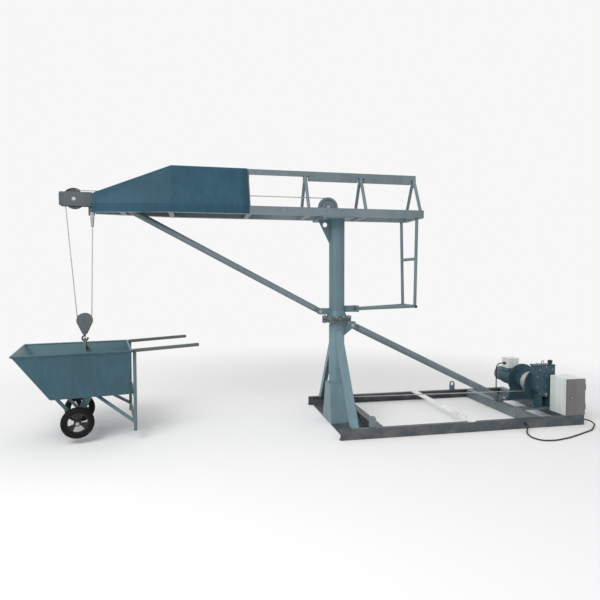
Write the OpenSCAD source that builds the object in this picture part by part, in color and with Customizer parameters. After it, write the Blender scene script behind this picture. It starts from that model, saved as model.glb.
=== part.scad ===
// Material hoist: rail base with a winch, slewing column, lattice boom, rope, hook block and barrow
// Origin on the ground under the column axis, +X toward the winch, +Y to the right, +Z up, millimetres

/* [Base frame] */
// Length of the side rails
rail_l = 2680; // [2550:10:3000]
// Rail length ahead of the column axis
rail_front = 160; // [130:5:240]
// Width over the rails
base_w = 1440; // [1340:10:1600]
// Height of the rails
rail_h = 100; // [90:1:115]
// Flange width of the rails
rail_flange = 48; // [42:1:60]
// Web thickness of the rails
rail_web = 6; // [4:0.5:8]
// Flange thickness of the rails
rail_t = 8; // [6:0.5:11]
// Width of the cross beams
beam_w = 80; // [60:2:100]
// Anchor hole diameter in the rail flanges
anchor_d = 18; // [14:1:22]
// Hole diameter of the lifting lugs
lug_hole_d = 40; // [30:1:46]

/* [Column] */
// Diameter of the column tubes
column_d = 168; // [150:1:180]
// Wall of the column tubes
column_wall = 8; // [6:0.5:10]
// Diameter of the slewing flanges
flange_d = 317; // [290:1:340]
// Height of the slewing joint
slew_z = 1105; // [1000:5:1200]
// Room above the foot sheave in the column foot
foot_room = 23; // [14:1:60]
// Diameter of the slewing spindle
spindle_d = 110; // [90:1:120]
// Diameter of the back stay
stay_d = 76; // [60:1:90]
// Leg width of the side braces
brace_w = 70; // [50:1:80]

/* [Boom] */
// Height of the boom underside
boom_z = 2200; // [2100:10:2300]
// Depth of the boom
boom_h = 490; // [440:5:540]
// Width over the bottom chords
boom_w = 480; // [440:2:540]
// Tail length behind the column axis
boom_tail = 900; // [850:5:960]
// Length of the open bay ahead of the column
bay = 618; // [590:2:640]
// Reach of the head sheave
reach = 2659; // [2560:5:2760]
// Height of a bottom chord
chord_h = 80; // [60:1:90]
// Width of a bottom chord
chord_w = 60; // [50:1:70]
// Width of the top chord
top_w = 50; // [40:1:60]
// Wall of the chords
chord_wall = 4; // [3:0.5:6]
// Diameter of the lattice legs
leg_d = 34; // [25:1:38]
// Diameter of the strut
strut_d = 65; // [50:1:76]

/* [Rope and sheaves] */
// Diameter of the rope
rope_d = 10; // [8:0.5:11]
// Rope radius on the head sheave
head_r = 88; // [80:1:100]
// Rope radius on the top sheave
top_r = 100; // [90:1:105]
// Rope radius on the foot sheave
foot_r = 70; // [60:1:80]
// Rope radius on the block sheave
block_r = 66; // [60:1:72]
// Turns of rope on the drum
drum_turns = 15; // [8:1:15]

/* [Winch] */
// Winch axis ahead of the rear rail ends
winch_back = 240; // [220:5:260]
// Height of the winch axis
winch_z = 355; // [340:1:380]
// Rope radius on the drum
drum_r = 110; // [100:1:115]
// Radius of the drum flanges
drum_flange_r = 185; // [160:1:190]
// Length of the drum between its flanges
drum_l = 290; // [280:1:310]
// Gear module
gear_m = 2.5; // [2.2:0.1:2.8]
// Radius of the motor body
motor_r = 90; // [80:1:110]
// Length of the motor body
motor_l = 300; // [240:5:340]

/* [Cabinet and cable] */
// Length of the cabinet
cabinet_l = 220; // [180:2:225]
// Depth of the cabinet
cabinet_d = 244; // [200:2:245]
// Height of the cabinet
cabinet_h = 390; // [340:5:440]
// Sheet thickness of the cabinet
cabinet_t = 3; // [2:0.5:4]
// Diameter of the supply cable
cable_d = 14; // [12:1:18]

/* [Barrow] */
// Turn of the barrow on the hook
barrow_turn = 10.4; // [-30:0.2:30]
// Height of the hung wheels over the ground
wheel_lift = 50; // [10:1:120]
// Rise of the bail over its pivots
bail_h = 138; // [110:1:200]
// Depth of the tray
tray_h = 420; // [380:5:440]
// Half width of the rim
rim_hw = 445; // [420:1:470]
// Half width of the tray floor
floor_hw = 360; // [330:1:390]
// Rim length ahead of the hook
rim_front = 585; // [540:5:620]
// Rim length behind the hook
rim_rear = 413; // [400:1:440]
// Floor length ahead of the hook
floor_front = 296; // [260:2:330]
// Lean of the rear wall
rear_lean = 27; // [15:1:40]
// Sheet thickness of the tray
tray_t = 3; // [2:0.5:5]
// Wheel diameter
wheel_d = 300; // [260:2:320]
// Room between the wheels and the tray
wheel_room = 98; // [70:1:140]
// Wheel track
track = 600; // [560:5:640]
// Handle length behind the rim
handle_l = 630; // [500:5:700]

/* [Hidden] */
$fn = 48;
paint = "#56727d";
dark_paint = "#4a5358";
steel = "#a9afb0";
rope_grey = "#b5b8b8";
rubber = "#202020";
light_grey = "#c7cfca";
bronze = "#a07a45";

// Clearances and the overrun that serves all cuts
over = 5;
run_gap = 0.05;
seat_gap = 0.3;
side_gap = 1.5;

// Base frame
rail_x0 = -rail_front;
rail_x1 = rail_l - rail_front;
rail_y = base_w / 2;
rail_in = rail_y - rail_flange;
flange_mid = rail_y - rail_web - (rail_flange - rail_web) / 2;
anchor_inset = 60;
beam_wall = 6;
bar_h = 12;
bar_slot = 24;
bar_x_share = 0.5;
bar_x = rail_x0 + rail_l * bar_x_share;
lug_t = 12;
lug_w = 70;
lug_h = 80;
lug_x_shares = [0.123, 0.715];
bed_w = 80;
winch_x = rail_x1 - winch_back;
bed_front = 325;
bed_front_x = winch_x - bed_front;
bearer_h = 20;
bed_z = rail_h + bearer_h;

// Column
bore_d = column_d - 2 * column_wall;
flange_t = 25;
ring_t = 6;
ring_w = 40;
upper_z = slew_z + ring_t;
collar_h = 66;
collar_w = 30;
spindle_wall = 10;
spindle_l = 380;
bush_h = 40;
foot_x0 = 110;
foot_x1 = 210;
foot_hw = 180;
foot_t = 8;
foot_top_hw = 100;
foot_top_t = 12;
foot_hole = 60;
window_hw = 40;
brace_t = 7;
pin_d = 24;
tab_t = 16;
ear_t = 12;
ear_r = 34;
pin_head = 5;
stay_x = 175;
stay_top = [stay_x, slew_z - flange_t - stay_d / 2 - side_gap];
stay_rise = 45;
stay_foot = [bed_front_x + bed_w / 2, rail_h + stay_rise];
stay_wall = 4;
stay_tab_l = 70;
foot_pin_d = 25;
foot_yoke_t = 10;
foot_z = winch_z - drum_r + foot_r;
lip = 8;
foot_h = foot_z + foot_r + lip + foot_room;
sheave_w = 30;
yoke_top = 28;

// Boom frames and nose
chord_y = boom_w / 2 - chord_w / 2;
boom_top = boom_z + boom_h;
chord_top = boom_z + chord_h;
frame_tail = boom_tail - leg_d / 2;
plate_t = 20;
plate_x0 = 215;
plate_x1 = 120;
frame_rear = 145;
frame_front = 138;
frame_xs = [frame_tail, plate_x1 + frame_rear, -plate_x0 - frame_front, -plate_x0 - frame_front - bay];
cover_rear = frame_xs[3];
nose_in = 191;
nose = reach - nose_in;
slope_l = 729;
peak = nose - slope_l;
nose_t = 12;
nose_h = 198;
nose_top = boom_z + nose_h;
nose_inner = 36;
nose_y = nose_inner + chord_w / 2;
nose_bay = 263;
nose_frame = nose - nose_bay;
top_end = nose_frame + leg_d / 2;
top_slope = (boom_top - nose_top) / (nose - peak);
doubler_h = 45;
doubler_in = 40;
leg_wall = 4;
tie = 50;
cover_t = 3;
cover_gap = 0.6;
slot_w = 40;
slot_l = 90;
cheek_t = 12;
cheek_h = 110;
head_end = 137;
head_rise = 129;
head_z = boom_z + head_rise;
head_pin_d = 25;
rope_z = head_z + head_r;
top_z = rope_z - top_r;
head_hole = 40;
gusset_t = 12;
gusset_h = 250;
gusset_hole = 50;
strut_pin_x = 187;
strut_pin_rise = 85;
strut_pin = [-strut_pin_x, upper_z + strut_pin_rise];
strut_in = 328;
strut_rise = 35;
strut_top = [strut_in - nose, boom_z + strut_rise];
strut_wall = 5;
sleeve_d = 60;
sleeve_l = 150;
top_pin_d = 30;
tail_lug_x = 225;
tail_pad_t = 12;
tail_pad_h = 70;
tail_pad_w = 110;
tail_rise = 110;
tail_z = upper_z + tail_rise;
tail_drop = 954;
tail_low_z = boom_z - tail_drop;
tail_low_hw = 165;
tail_lean = 5;
rung_drop = 436;
tail_rung_z = boom_z - rung_drop;
tail_d = 34;
tail_wall = 4;
tail_bar_y = 28;

// Sheave section
groove_gap = 0.4;
hub_w = 16;
web_t = 10;
rim_t = 12;

// Winch stations along Y, from the gear case to the motor
door_t = 16;
door_in = 2;
cabinet_y0 = -rail_y + door_in + door_t;
cabinet_y1 = cabinet_y0 + cabinet_d;
winch_room = 19;
cover_plate_t = 12;
case_y0 = cabinet_y1 + winch_room + 2 * cover_plate_t;
case_wall = 14;
case_side = 8;
case_depth = 86;
lid_out = 12;
lid_t = 14;
case_y1 = case_y0 + case_depth + case_wall;
winch_gap = 3;
drum_flange_t = 10;
drum_y0 = case_y1 + winch_gap + drum_flange_t;
drum_y1 = drum_y0 + drum_l;
stand_y0 = drum_y1 + drum_flange_t + winch_gap;
stand_t = 20;
motor_y0 = stand_y0 + stand_t;
teeth_large = 72;
teeth_small = 18;
gear_w = 30;
gear_gap = 8;
gear_clear = 12;
lay_z = winch_z + gear_m * (teeth_large + teeth_small) / 2;
case_r = gear_m * (teeth_large / 2 + 1) + gear_clear + case_side;
pressure_angle = 20;
root_share = 1.25;
backlash = 0.12;
stage2_y = case_y1 - case_wall - gear_gap - gear_w;
stage1_y = stage2_y - gear_gap - gear_w;
drum_hub_d = 90;
drum_bore = 60;
drum_wall = 12;
shaft_d = 28;
lay_d = 30;
journal = 8;
foot_t_case = 15;
foot_out = 40;
stand_foot_hw = 170;
fin_h = 14;
flange_out = 16;
motor_flange_r = motor_r + fin_h + flange_out;
motor_flange_t = 12;
motor_wall = 20;
fin_t = 4;
fin_n = 20;
shield_t = 14;
rotor_gap = 2;
rotor_r = motor_r - motor_wall - rotor_gap;
rotor_wall = 15;
cowl_l = 100;
cowl_t = 3;
fan_gap = 12;
fan_r = motor_r - cowl_t - fan_gap;
fan_t = 20;
vent_n = 12;
vent_d = 12;
vent_ring = 46;
box_l = 140;
box_w = 130;
box_h = 110;
box_y = 200;
bolt_d = 12;
bolt_head = 20;
bolt_head_h = 8;
bolt_gap = 1;
bolt_hole = bolt_d + bolt_gap;
case_feet = [for (s = [-1, 1], y = [case_y0 + foot_out / 2, case_y1 - foot_out / 2])
    [winch_x + s * (case_r + foot_out / 2), y]];
stand_feet = [for (x = [-1, 1]) [winch_x + x * (stand_foot_hw - foot_out / 2), stand_y0 + stand_t + foot_out / 2]];
cover_bolt_n = 10;
flange_bolt_n = 4;
screw_head = 14;
screw_head_h = 5;
lay_bore_depth = 8;

// Rope points
rope_gap = 0.6;
rope_pitch = rope_d + rope_gap;
rope_sides = 6;
loop_rings = 24;
drum_start_y = drum_y0 + rope_d;
lead_y = drum_start_y + drum_turns * rope_pitch;
fleet = atan2(lead_y, winch_x);
foot_dir = [cos(fleet), sin(fleet), 0];
hook_in = 73;
hook_x = hook_in - reach;
head_c = [-reach, head_z];
anchor_r = 16;
anchor_ear = 8;
anchor_x = -nose - nose_t - anchor_r - side_gap;
anchor_drop = 10;
anchor_top = boom_z - anchor_drop;
socket_h = 128;
anchor_p = [anchor_x, anchor_top - socket_h];

// Barrow heights from the ground up to the bail
axle_z = wheel_lift + wheel_d / 2;
tray_z = axle_z + wheel_d / 2 + wheel_room;
rim_z = tray_z + tray_h;
pivot_drop = 48;
pivot_z = rim_z - pivot_drop;
pivot_d = 20;
bail_eye_r = 24;
bail_eye_t = 12;
bail_d = 20;
knob_gap = 1;
bail_knob = bail_d + knob_gap;
bail_z = pivot_z + bail_h;

// Hook and hook block
block_cheek_t = 8;
block_w = 24;
block_pin_d = 22;
trunnion_d = 32;
trunnion_r = 24;
trunnion_drop = 118;
shank_d = 20;
nut_h = 16;
nut_d = 24;
hook_rod = 18;
bowl_r = 25;
bowl_a = 290;
bowl_z = bail_z - side_gap - bail_d / 2 - hook_rod / 2 + bowl_r;
trunnion_z = bowl_z + bowl_r + hook_rod / 2 + side_gap + trunnion_r;
block_z = trunnion_z + trunnion_drop;
block_c = [hook_x, block_z];

// Barrow
floor_rear = rim_rear - rear_lean;
rim_d = 22;
pivot_wall = rim_hw - (rim_hw - floor_hw) * pivot_drop / tray_h;
eye_in = 36;
eye_y = pivot_wall - eye_in;
handle_d = 34;
handle_rise = 28;
leg_x = rim_rear + rim_d / 2 + seat_gap + handle_d / 2;
leg_in = 45;
leg_y = rim_hw - leg_in;
leg_rise = 50;
leg_foot_z = wheel_lift + leg_rise;
axle_x = -70;
axle_d = 25;
bearer_in = 75;
bearer_y = track / 2 - bearer_in;
frame_tube = 32;
frame_wall = 3;
bracket_t = 8;
bracket_w = 40;
bracket_front = 180;
bracket_rear = 110;
tyre_w = 70;
tyre_r = 34;
tyre_h = 51;
wheel_rim_r = wheel_d / 2 - tyre_h;
hub_l = 80;
hub_r = 26;
disc_t = 8;
disc_rim = 8;
kidney_n = 3;
kidney_a = 76;
rim_band = 6;

// Cabinet and cable
cabinet_out = 10;
cabinet_x1 = rail_x1 + cabinet_out;
cabinet_x0 = cabinet_x1 - cabinet_l;
door_gap = 2;
fit_inset = 20;
fit_plate_t = 3;
fit_gap = 5;
contactor_n = 3;
contactor_w = (cabinet_l - 2 * fit_inset - (contactor_n + 1) * fit_gap) / contactor_n;
contactor_d = 60;
contactor_h = 80;
hinge_d = 10;
hinge_gap = 1;
hinge_x = cabinet_x1 + hinge_d / 2 + hinge_gap;
hinge_y = cabinet_y0 - door_t + hinge_d / 2;
hinge_l = 60;
latch_d = 24;
latch_t = 10;
latch_rib = 5;
gland_d = 30;
gland_l = 24;
bung_in = 30;
bung_t = 12;
bung_y = -flange_mid;
boot_l = 20;
boot_d = 26;
cable_hole_in = 34;
cable_hole_y = -rail_y + cable_hole_in;
bed_hole_d = 30;
bed_hole_in = 95;
bed_hole_y = -rail_y + bed_hole_in;
grommet_back = 700;
grommet_x = rail_x1 - grommet_back;
grommet_z = rail_h / 2;
grommet_d = 30;
grommet_t = 4;
box_gland_y = motor_y0 + box_y;
box_gland_z = winch_z + motor_r + fin_h + box_h / 2;
box_x0 = winch_x - box_l / 2;
end_share = 4.5;
cable_stand = 96;
loop_turn = 108;
loop_rise = 50;
inner_drop = 195;
// Bend radii at the corners in cable diameters
bend_shares = [0, 4.5, 4.5, 14, 20, 20, 20, 6.4, 11, 11, 5.7, 4.7, 4.6, 11, 5.7, 4.5, 0];
// Corners of the cable: out of the rail's end, round on the floor, in through the web, up to the motor
floor_z = cable_d / 2;
end_x = rail_x1 + cable_d * end_share;
inner_x = box_x0 - gland_l - cable_stand;
loop_points = [[-80, -200], [-332, -310], [-487, -372], [-660, -415], [-805, -400], [-840, -280], [-785, -140]];
cable_route = [
    [rail_x1 - bung_in + seat_gap, bung_y, grommet_z],
    [end_x, bung_y, grommet_z],
    [end_x, bung_y - loop_turn, grommet_z / 2],
    for (p = loop_points) [rail_x1 + p.x, -rail_y + p.y, floor_z],
    [grommet_x, -rail_y - loop_rise, grommet_z],
    [grommet_x, bed_hole_y, grommet_z],
    [inner_x, bed_hole_y, grommet_z],
    [inner_x, bed_hole_y + inner_drop, floor_z],
    [inner_x, box_gland_y, floor_z],
    [inner_x, box_gland_y, box_gland_z],
    [box_x0 - gland_l - seat_gap, box_gland_y, box_gland_z]];
cable_sides = 8;
bend_step = 12;

// Points along a route whose corners are rounded to their own radii
function rounded(p, r) = concat([p[0]], [for (i = [1 : len(p) - 2]) let (
    u = unit(p[i - 1] - p[i]), v = unit(p[i + 1] - p[i]), h = acos(u * v) / 2, turn = 180 - 2 * h,
    c = p[i] + unit(u + v) * r[i] / sin(h), a = p[i] + u * r[i] / tan(h) - c, b = p[i] + v * r[i] / tan(h) - c,
    n = ceil(turn / bend_step)) each [for (k = [0 : n]) c
        + (sin(turn * (1 - k / n)) * a + sin(turn * k / n) * b) / sin(turn)]], [p[len(p) - 1]]);
function unit(v) = v / norm(v);
// A vector turned square to a direction
function square_to(v, t) = unit(v - (v * t) * t);
function tangents(p) = [for (i = [0 : len(p) - 1]) unit(p[min(i + 1, len(p) - 1)] - p[max(i - 1, 0)])];
// Points of an arc in the XZ plane
function arc(c, r, a0, a1, n) = [for (i = [0 : n]) let (a = a0 + (a1 - a0) * i / n)
    [c.x + r * cos(a), 0, c.y + r * sin(a)]];
// An outline of constant width along a bent path
function ribbon(p, w) = concat([for (q = p) [q.x, q.y - w / 2]],
    [for (i = [len(p) - 1 : -1 : 0]) [p[i].x, p[i].y + w / 2]]);

// One closed tube swept along points
module sweep(p, d, sides, first) {
    t = tangents(p);
    last = len(p) - 1;
    normals = [for (i = 0, n = square_to(first, t[0]); i <= last;
        i = i + 1, n = i <= last ? square_to(n, t[i]) : n) n];
    rings = [for (i = [0 : last], k = [0 : sides - 1]) let (a = 360 * k / sides, n = normals[i])
        p[i] + d / 2 * (cos(a) * n + sin(a) * cross(t[i], n))];
    walls = [for (i = [0 : last - 1], k = [0 : sides - 1]) let (a = i * sides + k, b = i * sides + (k + 1) % sides)
        each [[a, a + sides, b], [b, a + sides, b + sides]]];
    caps = [for (k = [1 : sides - 2]) each [[0, k, k + 1], [last * sides, last * sides + k + 1, last * sides + k]]];
    polyhedron(points = rings, faces = concat(walls, caps));
}

// A rod from one point to another
module rod(a, b, d) {
    v = b - a;
    translate(a)
        rotate([0, acos(v.z / norm(v)), atan2(v.y, v.x)])
            cylinder(h = norm(v), d = d);
}

// A tube from one point to another
module tube(a, b, d, wall) {
    u = unit(b - a) * over;
    difference() {
        rod(a, b, d);
        rod(a - u, b + u, d - 2 * wall);
    }
}

// A cylinder along Y, from y to y + l
module y_rod(x, y, z, l, d) {
    translate([x, y, z])
        rotate([-90, 0, 0])
            cylinder(h = l, d = d);
}

// A profile drawn in X and Z, from y to y + t
module xz_plate(y, t) {
    translate([0, y + t, 0])
        rotate([90, 0, 0])
            linear_extrude(t)
                children();
}

// A profile drawn in Y and Z, from x to x + t
module yz_plate(x, t) {
    translate([x, 0, 0])
        rotate([90, 0, 90])
            linear_extrude(t)
                children();
}

// A box from its low corner to its high corner
module span(a, b) {
    translate(a)
        cube(b - a);
}

// A hollow rectangular beam along Y
module box_beam(x, w, y0, y1, z0, h, wall) {
    difference() {
        span([x, y0, z0], [x + w, y1, z0 + h]);
        span([x + wall, y0 - over, z0 + wall], [x + w - wall, y1 + over, z0 + h - wall]);
    }
}

// A grooved rope wheel about Z
module sheave(r, bore, w = sheave_w) {
    hub = bore / 2 + hub_w;
    inner = r - rope_d / 2 - rim_t;
    rotate_extrude($fn = 64)
        difference() {
            translate([bore / 2 + run_gap, -w / 2])
                square([r + lip - bore / 2 - run_gap, w]);
            translate([r, 0])
                circle(d = rope_d + 2 * groove_gap);
            polygon([[r, -rope_d / 2 - groove_gap], [r + lip + over, -w / 2], [r + lip + over, w / 2],
                [r, rope_d / 2 + groove_gap]]);
            translate([hub, web_t / 2])
                square([inner - hub, w]);
            translate([hub, -web_t / 2 - w])
                square([inner - hub, w]);
        }
}

// A sheave about a Y axis
module y_sheave(x, y, z, r, bore, w = sheave_w) {
    translate([x, y, z])
        rotate([90, 0, 0])
            sheave(r, bore, w);
}

// Involute gear outline with its first tooth on +X
function involute(a) = tan(a) - a * PI / 180;
function flank(n, r, rb) = let (a = r > rb ? acos(rb / r) : 0)
    90 / n + (involute(pressure_angle) - involute(a)) * 180 / PI - backlash / (gear_m * n) * 180 / PI;
function gear_points(n) = let (rp = gear_m * n / 2, rb = rp * cos(pressure_angle), rf = rp - root_share * gear_m,
    rs = [rf, max(rf, rb), rp, rp + gear_m / 2, rp + gear_m])
    [for (i = [0 : n - 1]) each concat(
        [for (r = rs) let (a = i * 360 / n - flank(n, r, rb)) r * [cos(a), sin(a)]],
        [for (k = [len(rs) - 1 : -1 : 0]) let (r = rs[k], a = i * 360 / n + flank(n, r, rb)) r * [cos(a), sin(a)]])];
module y_gear(y, z, n) {
    translate([winch_x, 0, z])
        xz_plate(y, gear_w)
            polygon(gear_points(n));
}

// A hexagon head on a shank, pointing down Z from the seat
module bolt(d, head, head_h, l) {
    cylinder(h = head_h, d = head, $fn = 6);
    translate([0, 0, -l])
        cylinder(h = l + over, d = d);
}

// Base frame

module rail(side) {
    color(dark_paint)
        scale([1, side, 1])
            difference() {
                span([rail_x0, rail_in, 0], [rail_x1, rail_y, rail_h]);
                span([rail_x0 - over, rail_in - over, rail_t], [rail_x1 + over, rail_y - rail_web, rail_h - rail_t]);
                for (x = [rail_x0 + anchor_inset, rail_x1 - anchor_inset])
                    translate([x, flange_mid, -over])
                        cylinder(h = rail_h + 2 * over, d = anchor_d);
                if (side < 0) {
                    y_rod(grommet_x, rail_in, grommet_z, rail_flange + over, grommet_d);
                    translate([cabinet_x0 + cabinet_l / 2, -cable_hole_y, rail_h - rail_t - over])
                        cylinder(h = rail_t + 2 * over, d = cable_d + side_gap);
                }
            }
}

module left_rail() {
    rail(-1);
}

module right_rail() {
    rail(1);
}

module front_beam() {
    color(dark_paint) {
        box_beam(foot_x1, beam_w, -rail_in, rail_in, 0, rail_h, beam_wall);
        span([-foot_x0, -rail_in, 0], [foot_x1 + beam_wall, rail_in, beam_wall]);
    }
}

module middle_cross_bar() {
    color(light_grey)
        difference() {
            span([bar_x, -rail_y + rail_web, rail_h], [bar_x + beam_w, rail_y - rail_web, rail_h + bar_h]);
            for (y = [-rail_in + beam_w : beam_w : rail_in - beam_w])
                span([bar_x + bar_slot, y - bar_slot, rail_h - over],
                    [bar_x + beam_w - bar_slot, y + bar_slot, rail_h + bar_h + over]);
        }
}

module winch_bed() {
    color(paint)
        difference() {
            union() {
                for (x = [bed_front_x, rail_x1 - bed_w])
                    box_beam(x, bed_w, -rail_in, rail_in, 0, rail_h, beam_wall);
                for (y = [case_y0 + foot_out / 2, case_y1 - foot_out / 2, stand_feet[0].y])
                    span([bed_front_x, y - foot_out / 2, rail_h], [rail_x1, y + foot_out / 2, bed_z]);
                for (s = [-1, 1])
                    xz_plate(s > 0 ? tab_t / 2 + side_gap : -tab_t / 2 - side_gap - ear_t, ear_t)
                        stay_ear(stay_foot, rail_h);
            }
            for (p = concat(case_feet, stand_feet))
                translate([p.x, p.y, rail_h - over])
                    cylinder(h = bearer_h + 2 * over, d = bolt_hole);
            y_rod(stay_foot.x, -foot_hw, stay_foot.y, 2 * foot_hw, pin_d);
            translate([bed_front_x - over, bed_hole_y, grommet_z])
                rotate([0, 90, 0])
                    cylinder(h = bed_w + 2 * over, d = bed_hole_d);
        }
}

// An ear for the stay foot: a round top on a square base
module stay_ear(p, z0) {
    translate(p)
        circle(r = ear_r);
    translate([p.x - ear_r, z0])
        square([2 * ear_r, p.y - z0]);
}

module lifting_lugs() {
    color(paint)
        for (s = [-1, 1], share = lug_x_shares)
            xz_plate(s * flange_mid - lug_t / 2, lug_t)
                translate([rail_x0 + rail_l * share, rail_h])
                    difference() {
                        union() {
                            translate([-lug_w / 2, 0])
                                square([lug_w, lug_h]);
                            translate([0, lug_h])
                                circle(d = lug_w);
                        }
                        translate([0, lug_h])
                            circle(d = lug_hole_d);
                    }
}

module foot_shell(t) {
    hull() {
        translate([-foot_x0 + t, -foot_hw + t, beam_wall - (t > 0 ? over : 0)])
            cube([foot_x0 + foot_x1 - 2 * t, 2 * (foot_hw - t), over]);
        translate([-foot_top_hw + t, -foot_top_hw + t, foot_h - over - (t > 0 ? foot_top_t : 0)])
            cube([2 * (foot_top_hw - t), 2 * (foot_top_hw - t), over]);
    }
}

module column_foot() {
    color(paint)
        difference() {
            foot_shell(0);
            foot_shell(foot_t);
            translate([0, 0, foot_h - foot_top_t - over])
                cylinder(h = foot_top_t + 2 * over, d = foot_hole);
            span([0, -window_hw, 2 * foot_t], [foot_x1 + over, window_hw, foot_h - 2 * foot_top_t]);
        }
}

module lower_column() {
    color(paint)
        difference() {
            union() {
                translate([0, 0, foot_h])
                    cylinder(h = slew_z - foot_h, d = column_d);
                translate([0, 0, slew_z - flange_t])
                    cylinder(h = flange_t, d = flange_d);
                for (s = [-1, 1])
                    xz_plate(s > 0 ? tab_t / 2 + side_gap : -tab_t / 2 - side_gap - ear_t, ear_t)
                        polygon([[0, slew_z - flange_t], [stay_top.x + ear_r, slew_z - flange_t],
                            [stay_top.x + ear_r, stay_top.y - ear_r], [stay_top.x, stay_top.y - ear_r],
                            [0, stay_top.y - stay_top.x]]);
            }
            translate([0, 0, foot_h - over])
                cylinder(h = slew_z - foot_h + 2 * over, d = bore_d);
            y_rod(stay_top.x, -foot_hw, stay_top.y, 2 * foot_hw, pin_d);
        }
}

module slew_bushes() {
    color(bronze) {
        for (z = [slew_z - bush_h, upper_z - spindle_l])
            translate([0, 0, z])
                difference() {
                    cylinder(h = bush_h, d = bore_d);
                    translate([0, 0, -over])
                        cylinder(h = bush_h + 2 * over, d = spindle_d + 2 * run_gap);
                }
        translate([0, 0, slew_z])
            difference() {
                cylinder(h = ring_t, d = flange_d - ring_w);
                translate([0, 0, -over])
                    cylinder(h = ring_t + 2 * over, d = column_d);
            }
    }
}

module side_braces() {
    top = [0, column_d / 2 - over, slew_z - flange_t - brace_w];
    low = [0, flange_mid, rail_h - over];
    v = low - top;
    color(paint)
        for (s = [-1, 1])
            scale([1, s, 1])
                difference() {
                    translate(top)
                        rotate([-atan2(v.y, v.z), 0, 0])
                            linear_extrude(norm(v) + over)
                                polygon([[-brace_w / 2, 0], [brace_w / 2, 0], [brace_w / 2, brace_t],
                                    [brace_t - brace_w / 2, brace_t], [brace_t - brace_w / 2, brace_w],
                                    [-brace_w / 2, brace_w]]);
                    cylinder(h = slew_z, d = column_d);
                    span([-foot_hw, 0, 0], [foot_hw, rail_y, rail_h]);
                    span([-foot_hw, 0, slew_z - flange_t], [foot_hw, rail_y, slew_z]);
                }
}

module back_stay() {
    a = [stay_top.x, 0, stay_top.y];
    b = [stay_foot.x, 0, stay_foot.y];
    u = unit(b - a);
    color(paint)
        difference() {
            union() {
                tube(a + u * stay_tab_l, b - u * stay_tab_l, stay_d, stay_wall);
                for (e = [[a, 1], [b, -1]])
                    xz_plate(-tab_t / 2, tab_t)
                        hull() {
                            translate([e[0].x, e[0].z])
                                circle(d = stay_d - stay_wall, $fn = 32);
                            translate([e[0].x, e[0].z] + e[1] * (stay_tab_l + stay_d) * [u.x, u.z])
                                circle(d = stay_d - stay_wall, $fn = 32);
                        }
            }
            for (e = [a, b])
                y_rod(e.x, -tab_t, e.z, 2 * tab_t, pin_d);
        }
}

// Pins of the stay ends, and the foot sheave's pin with its yoke
module base_pins() {
    l = tab_t + 2 * side_gap + 2 * ear_t;
    inner = sheave_w / 2 + side_gap;
    color(steel) {
        for (p = [stay_top, stay_foot]) {
            y_rod(p.x, -l / 2, p.y, l, pin_d);
            for (y = [-l / 2 - pin_head, l / 2])
                y_rod(p.x, y, p.y, pin_head, pin_d + 2 * pin_head);
        }
        rotate([0, 0, fleet]) {
            y_rod(foot_r, -inner - foot_yoke_t, foot_z, 2 * inner + 2 * foot_yoke_t, foot_pin_d);
            for (s = [-1, 1])
                xz_plate(s > 0 ? inner : -inner - foot_yoke_t, foot_yoke_t)
                    translate([foot_r, 0]) {
                        translate([-yoke_top, beam_wall])
                            square([2 * yoke_top, foot_z - beam_wall]);
                        translate([0, foot_z])
                            circle(r = yoke_top);
                    }
        }
    }
}

// Winch

// Outline of the gear case: round below and flat on top
module case_outline(r) {
    translate([winch_x, winch_z])
        circle(r = r, $fn = 72);
    translate([winch_x - r, winch_z])
        square([2 * r, lay_z + r - winch_z]);
}

module cover_bolts(d, y, l) {
    ring = case_r - case_side / 2;
    for (i = [0 : cover_bolt_n - 1]) {
        upper = i < cover_bolt_n / 2;
        a = (upper ? i : i - cover_bolt_n / 2) * 180 / (cover_bolt_n / 2 - 1) + (upper ? 0 : 180);
        y_rod(winch_x + ring * cos(a), y, (upper ? lay_z : winch_z) + ring * sin(a), l, d);
    }
}

module gear_case() {
    color(paint)
        difference() {
            union() {
                xz_plate(case_y0, case_y1 - case_y0)
                    case_outline(case_r);
                span([winch_x - case_r - lid_out, case_y0, lay_z + case_r],
                    [winch_x + case_r + lid_out, case_y1, lay_z + case_r + lid_t]);
                span([winch_x - case_r - foot_out, case_y0, bed_z],
                    [winch_x + case_r + foot_out, case_y1, bed_z + foot_t_case]);
                for (s = [-1, 1])
                    span([winch_x + s * case_r / 2 - foot_out / 2, case_y0, bed_z],
                        [winch_x + s * case_r / 2 + foot_out / 2, case_y1, winch_z - case_r / 2]);
            }
            xz_plate(case_y0 - over, case_depth + over)
                case_outline(case_r - case_side);
            y_rod(winch_x, case_y1 - case_wall - over, winch_z, case_wall + 2 * over, drum_hub_d + 2 * run_gap);
            y_rod(winch_x, case_y1 - case_wall - over, lay_z, over + lay_bore_depth, lay_d + 2 * run_gap);
            for (p = case_feet)
                translate([p.x, p.y, bed_z - over])
                    cylinder(h = foot_t_case + 2 * over, d = bolt_hole);
        }
}

module gear_case_cover() {
    y = case_y0 - cover_plate_t;
    color(paint)
        difference() {
            union() {
                xz_plate(y, cover_plate_t)
                    case_outline(case_r);
                for (z = [winch_z, lay_z])
                    y_rod(winch_x, y - cover_plate_t, z, cover_plate_t + over, 2 * shaft_d);
            }
            y_rod(winch_x, y - over, winch_z, cover_plate_t + 2 * over, shaft_d + 2 * run_gap);
            y_rod(winch_x, y - over, lay_z, cover_plate_t + 2 * over, lay_d + 2 * run_gap);
        }
}

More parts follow.
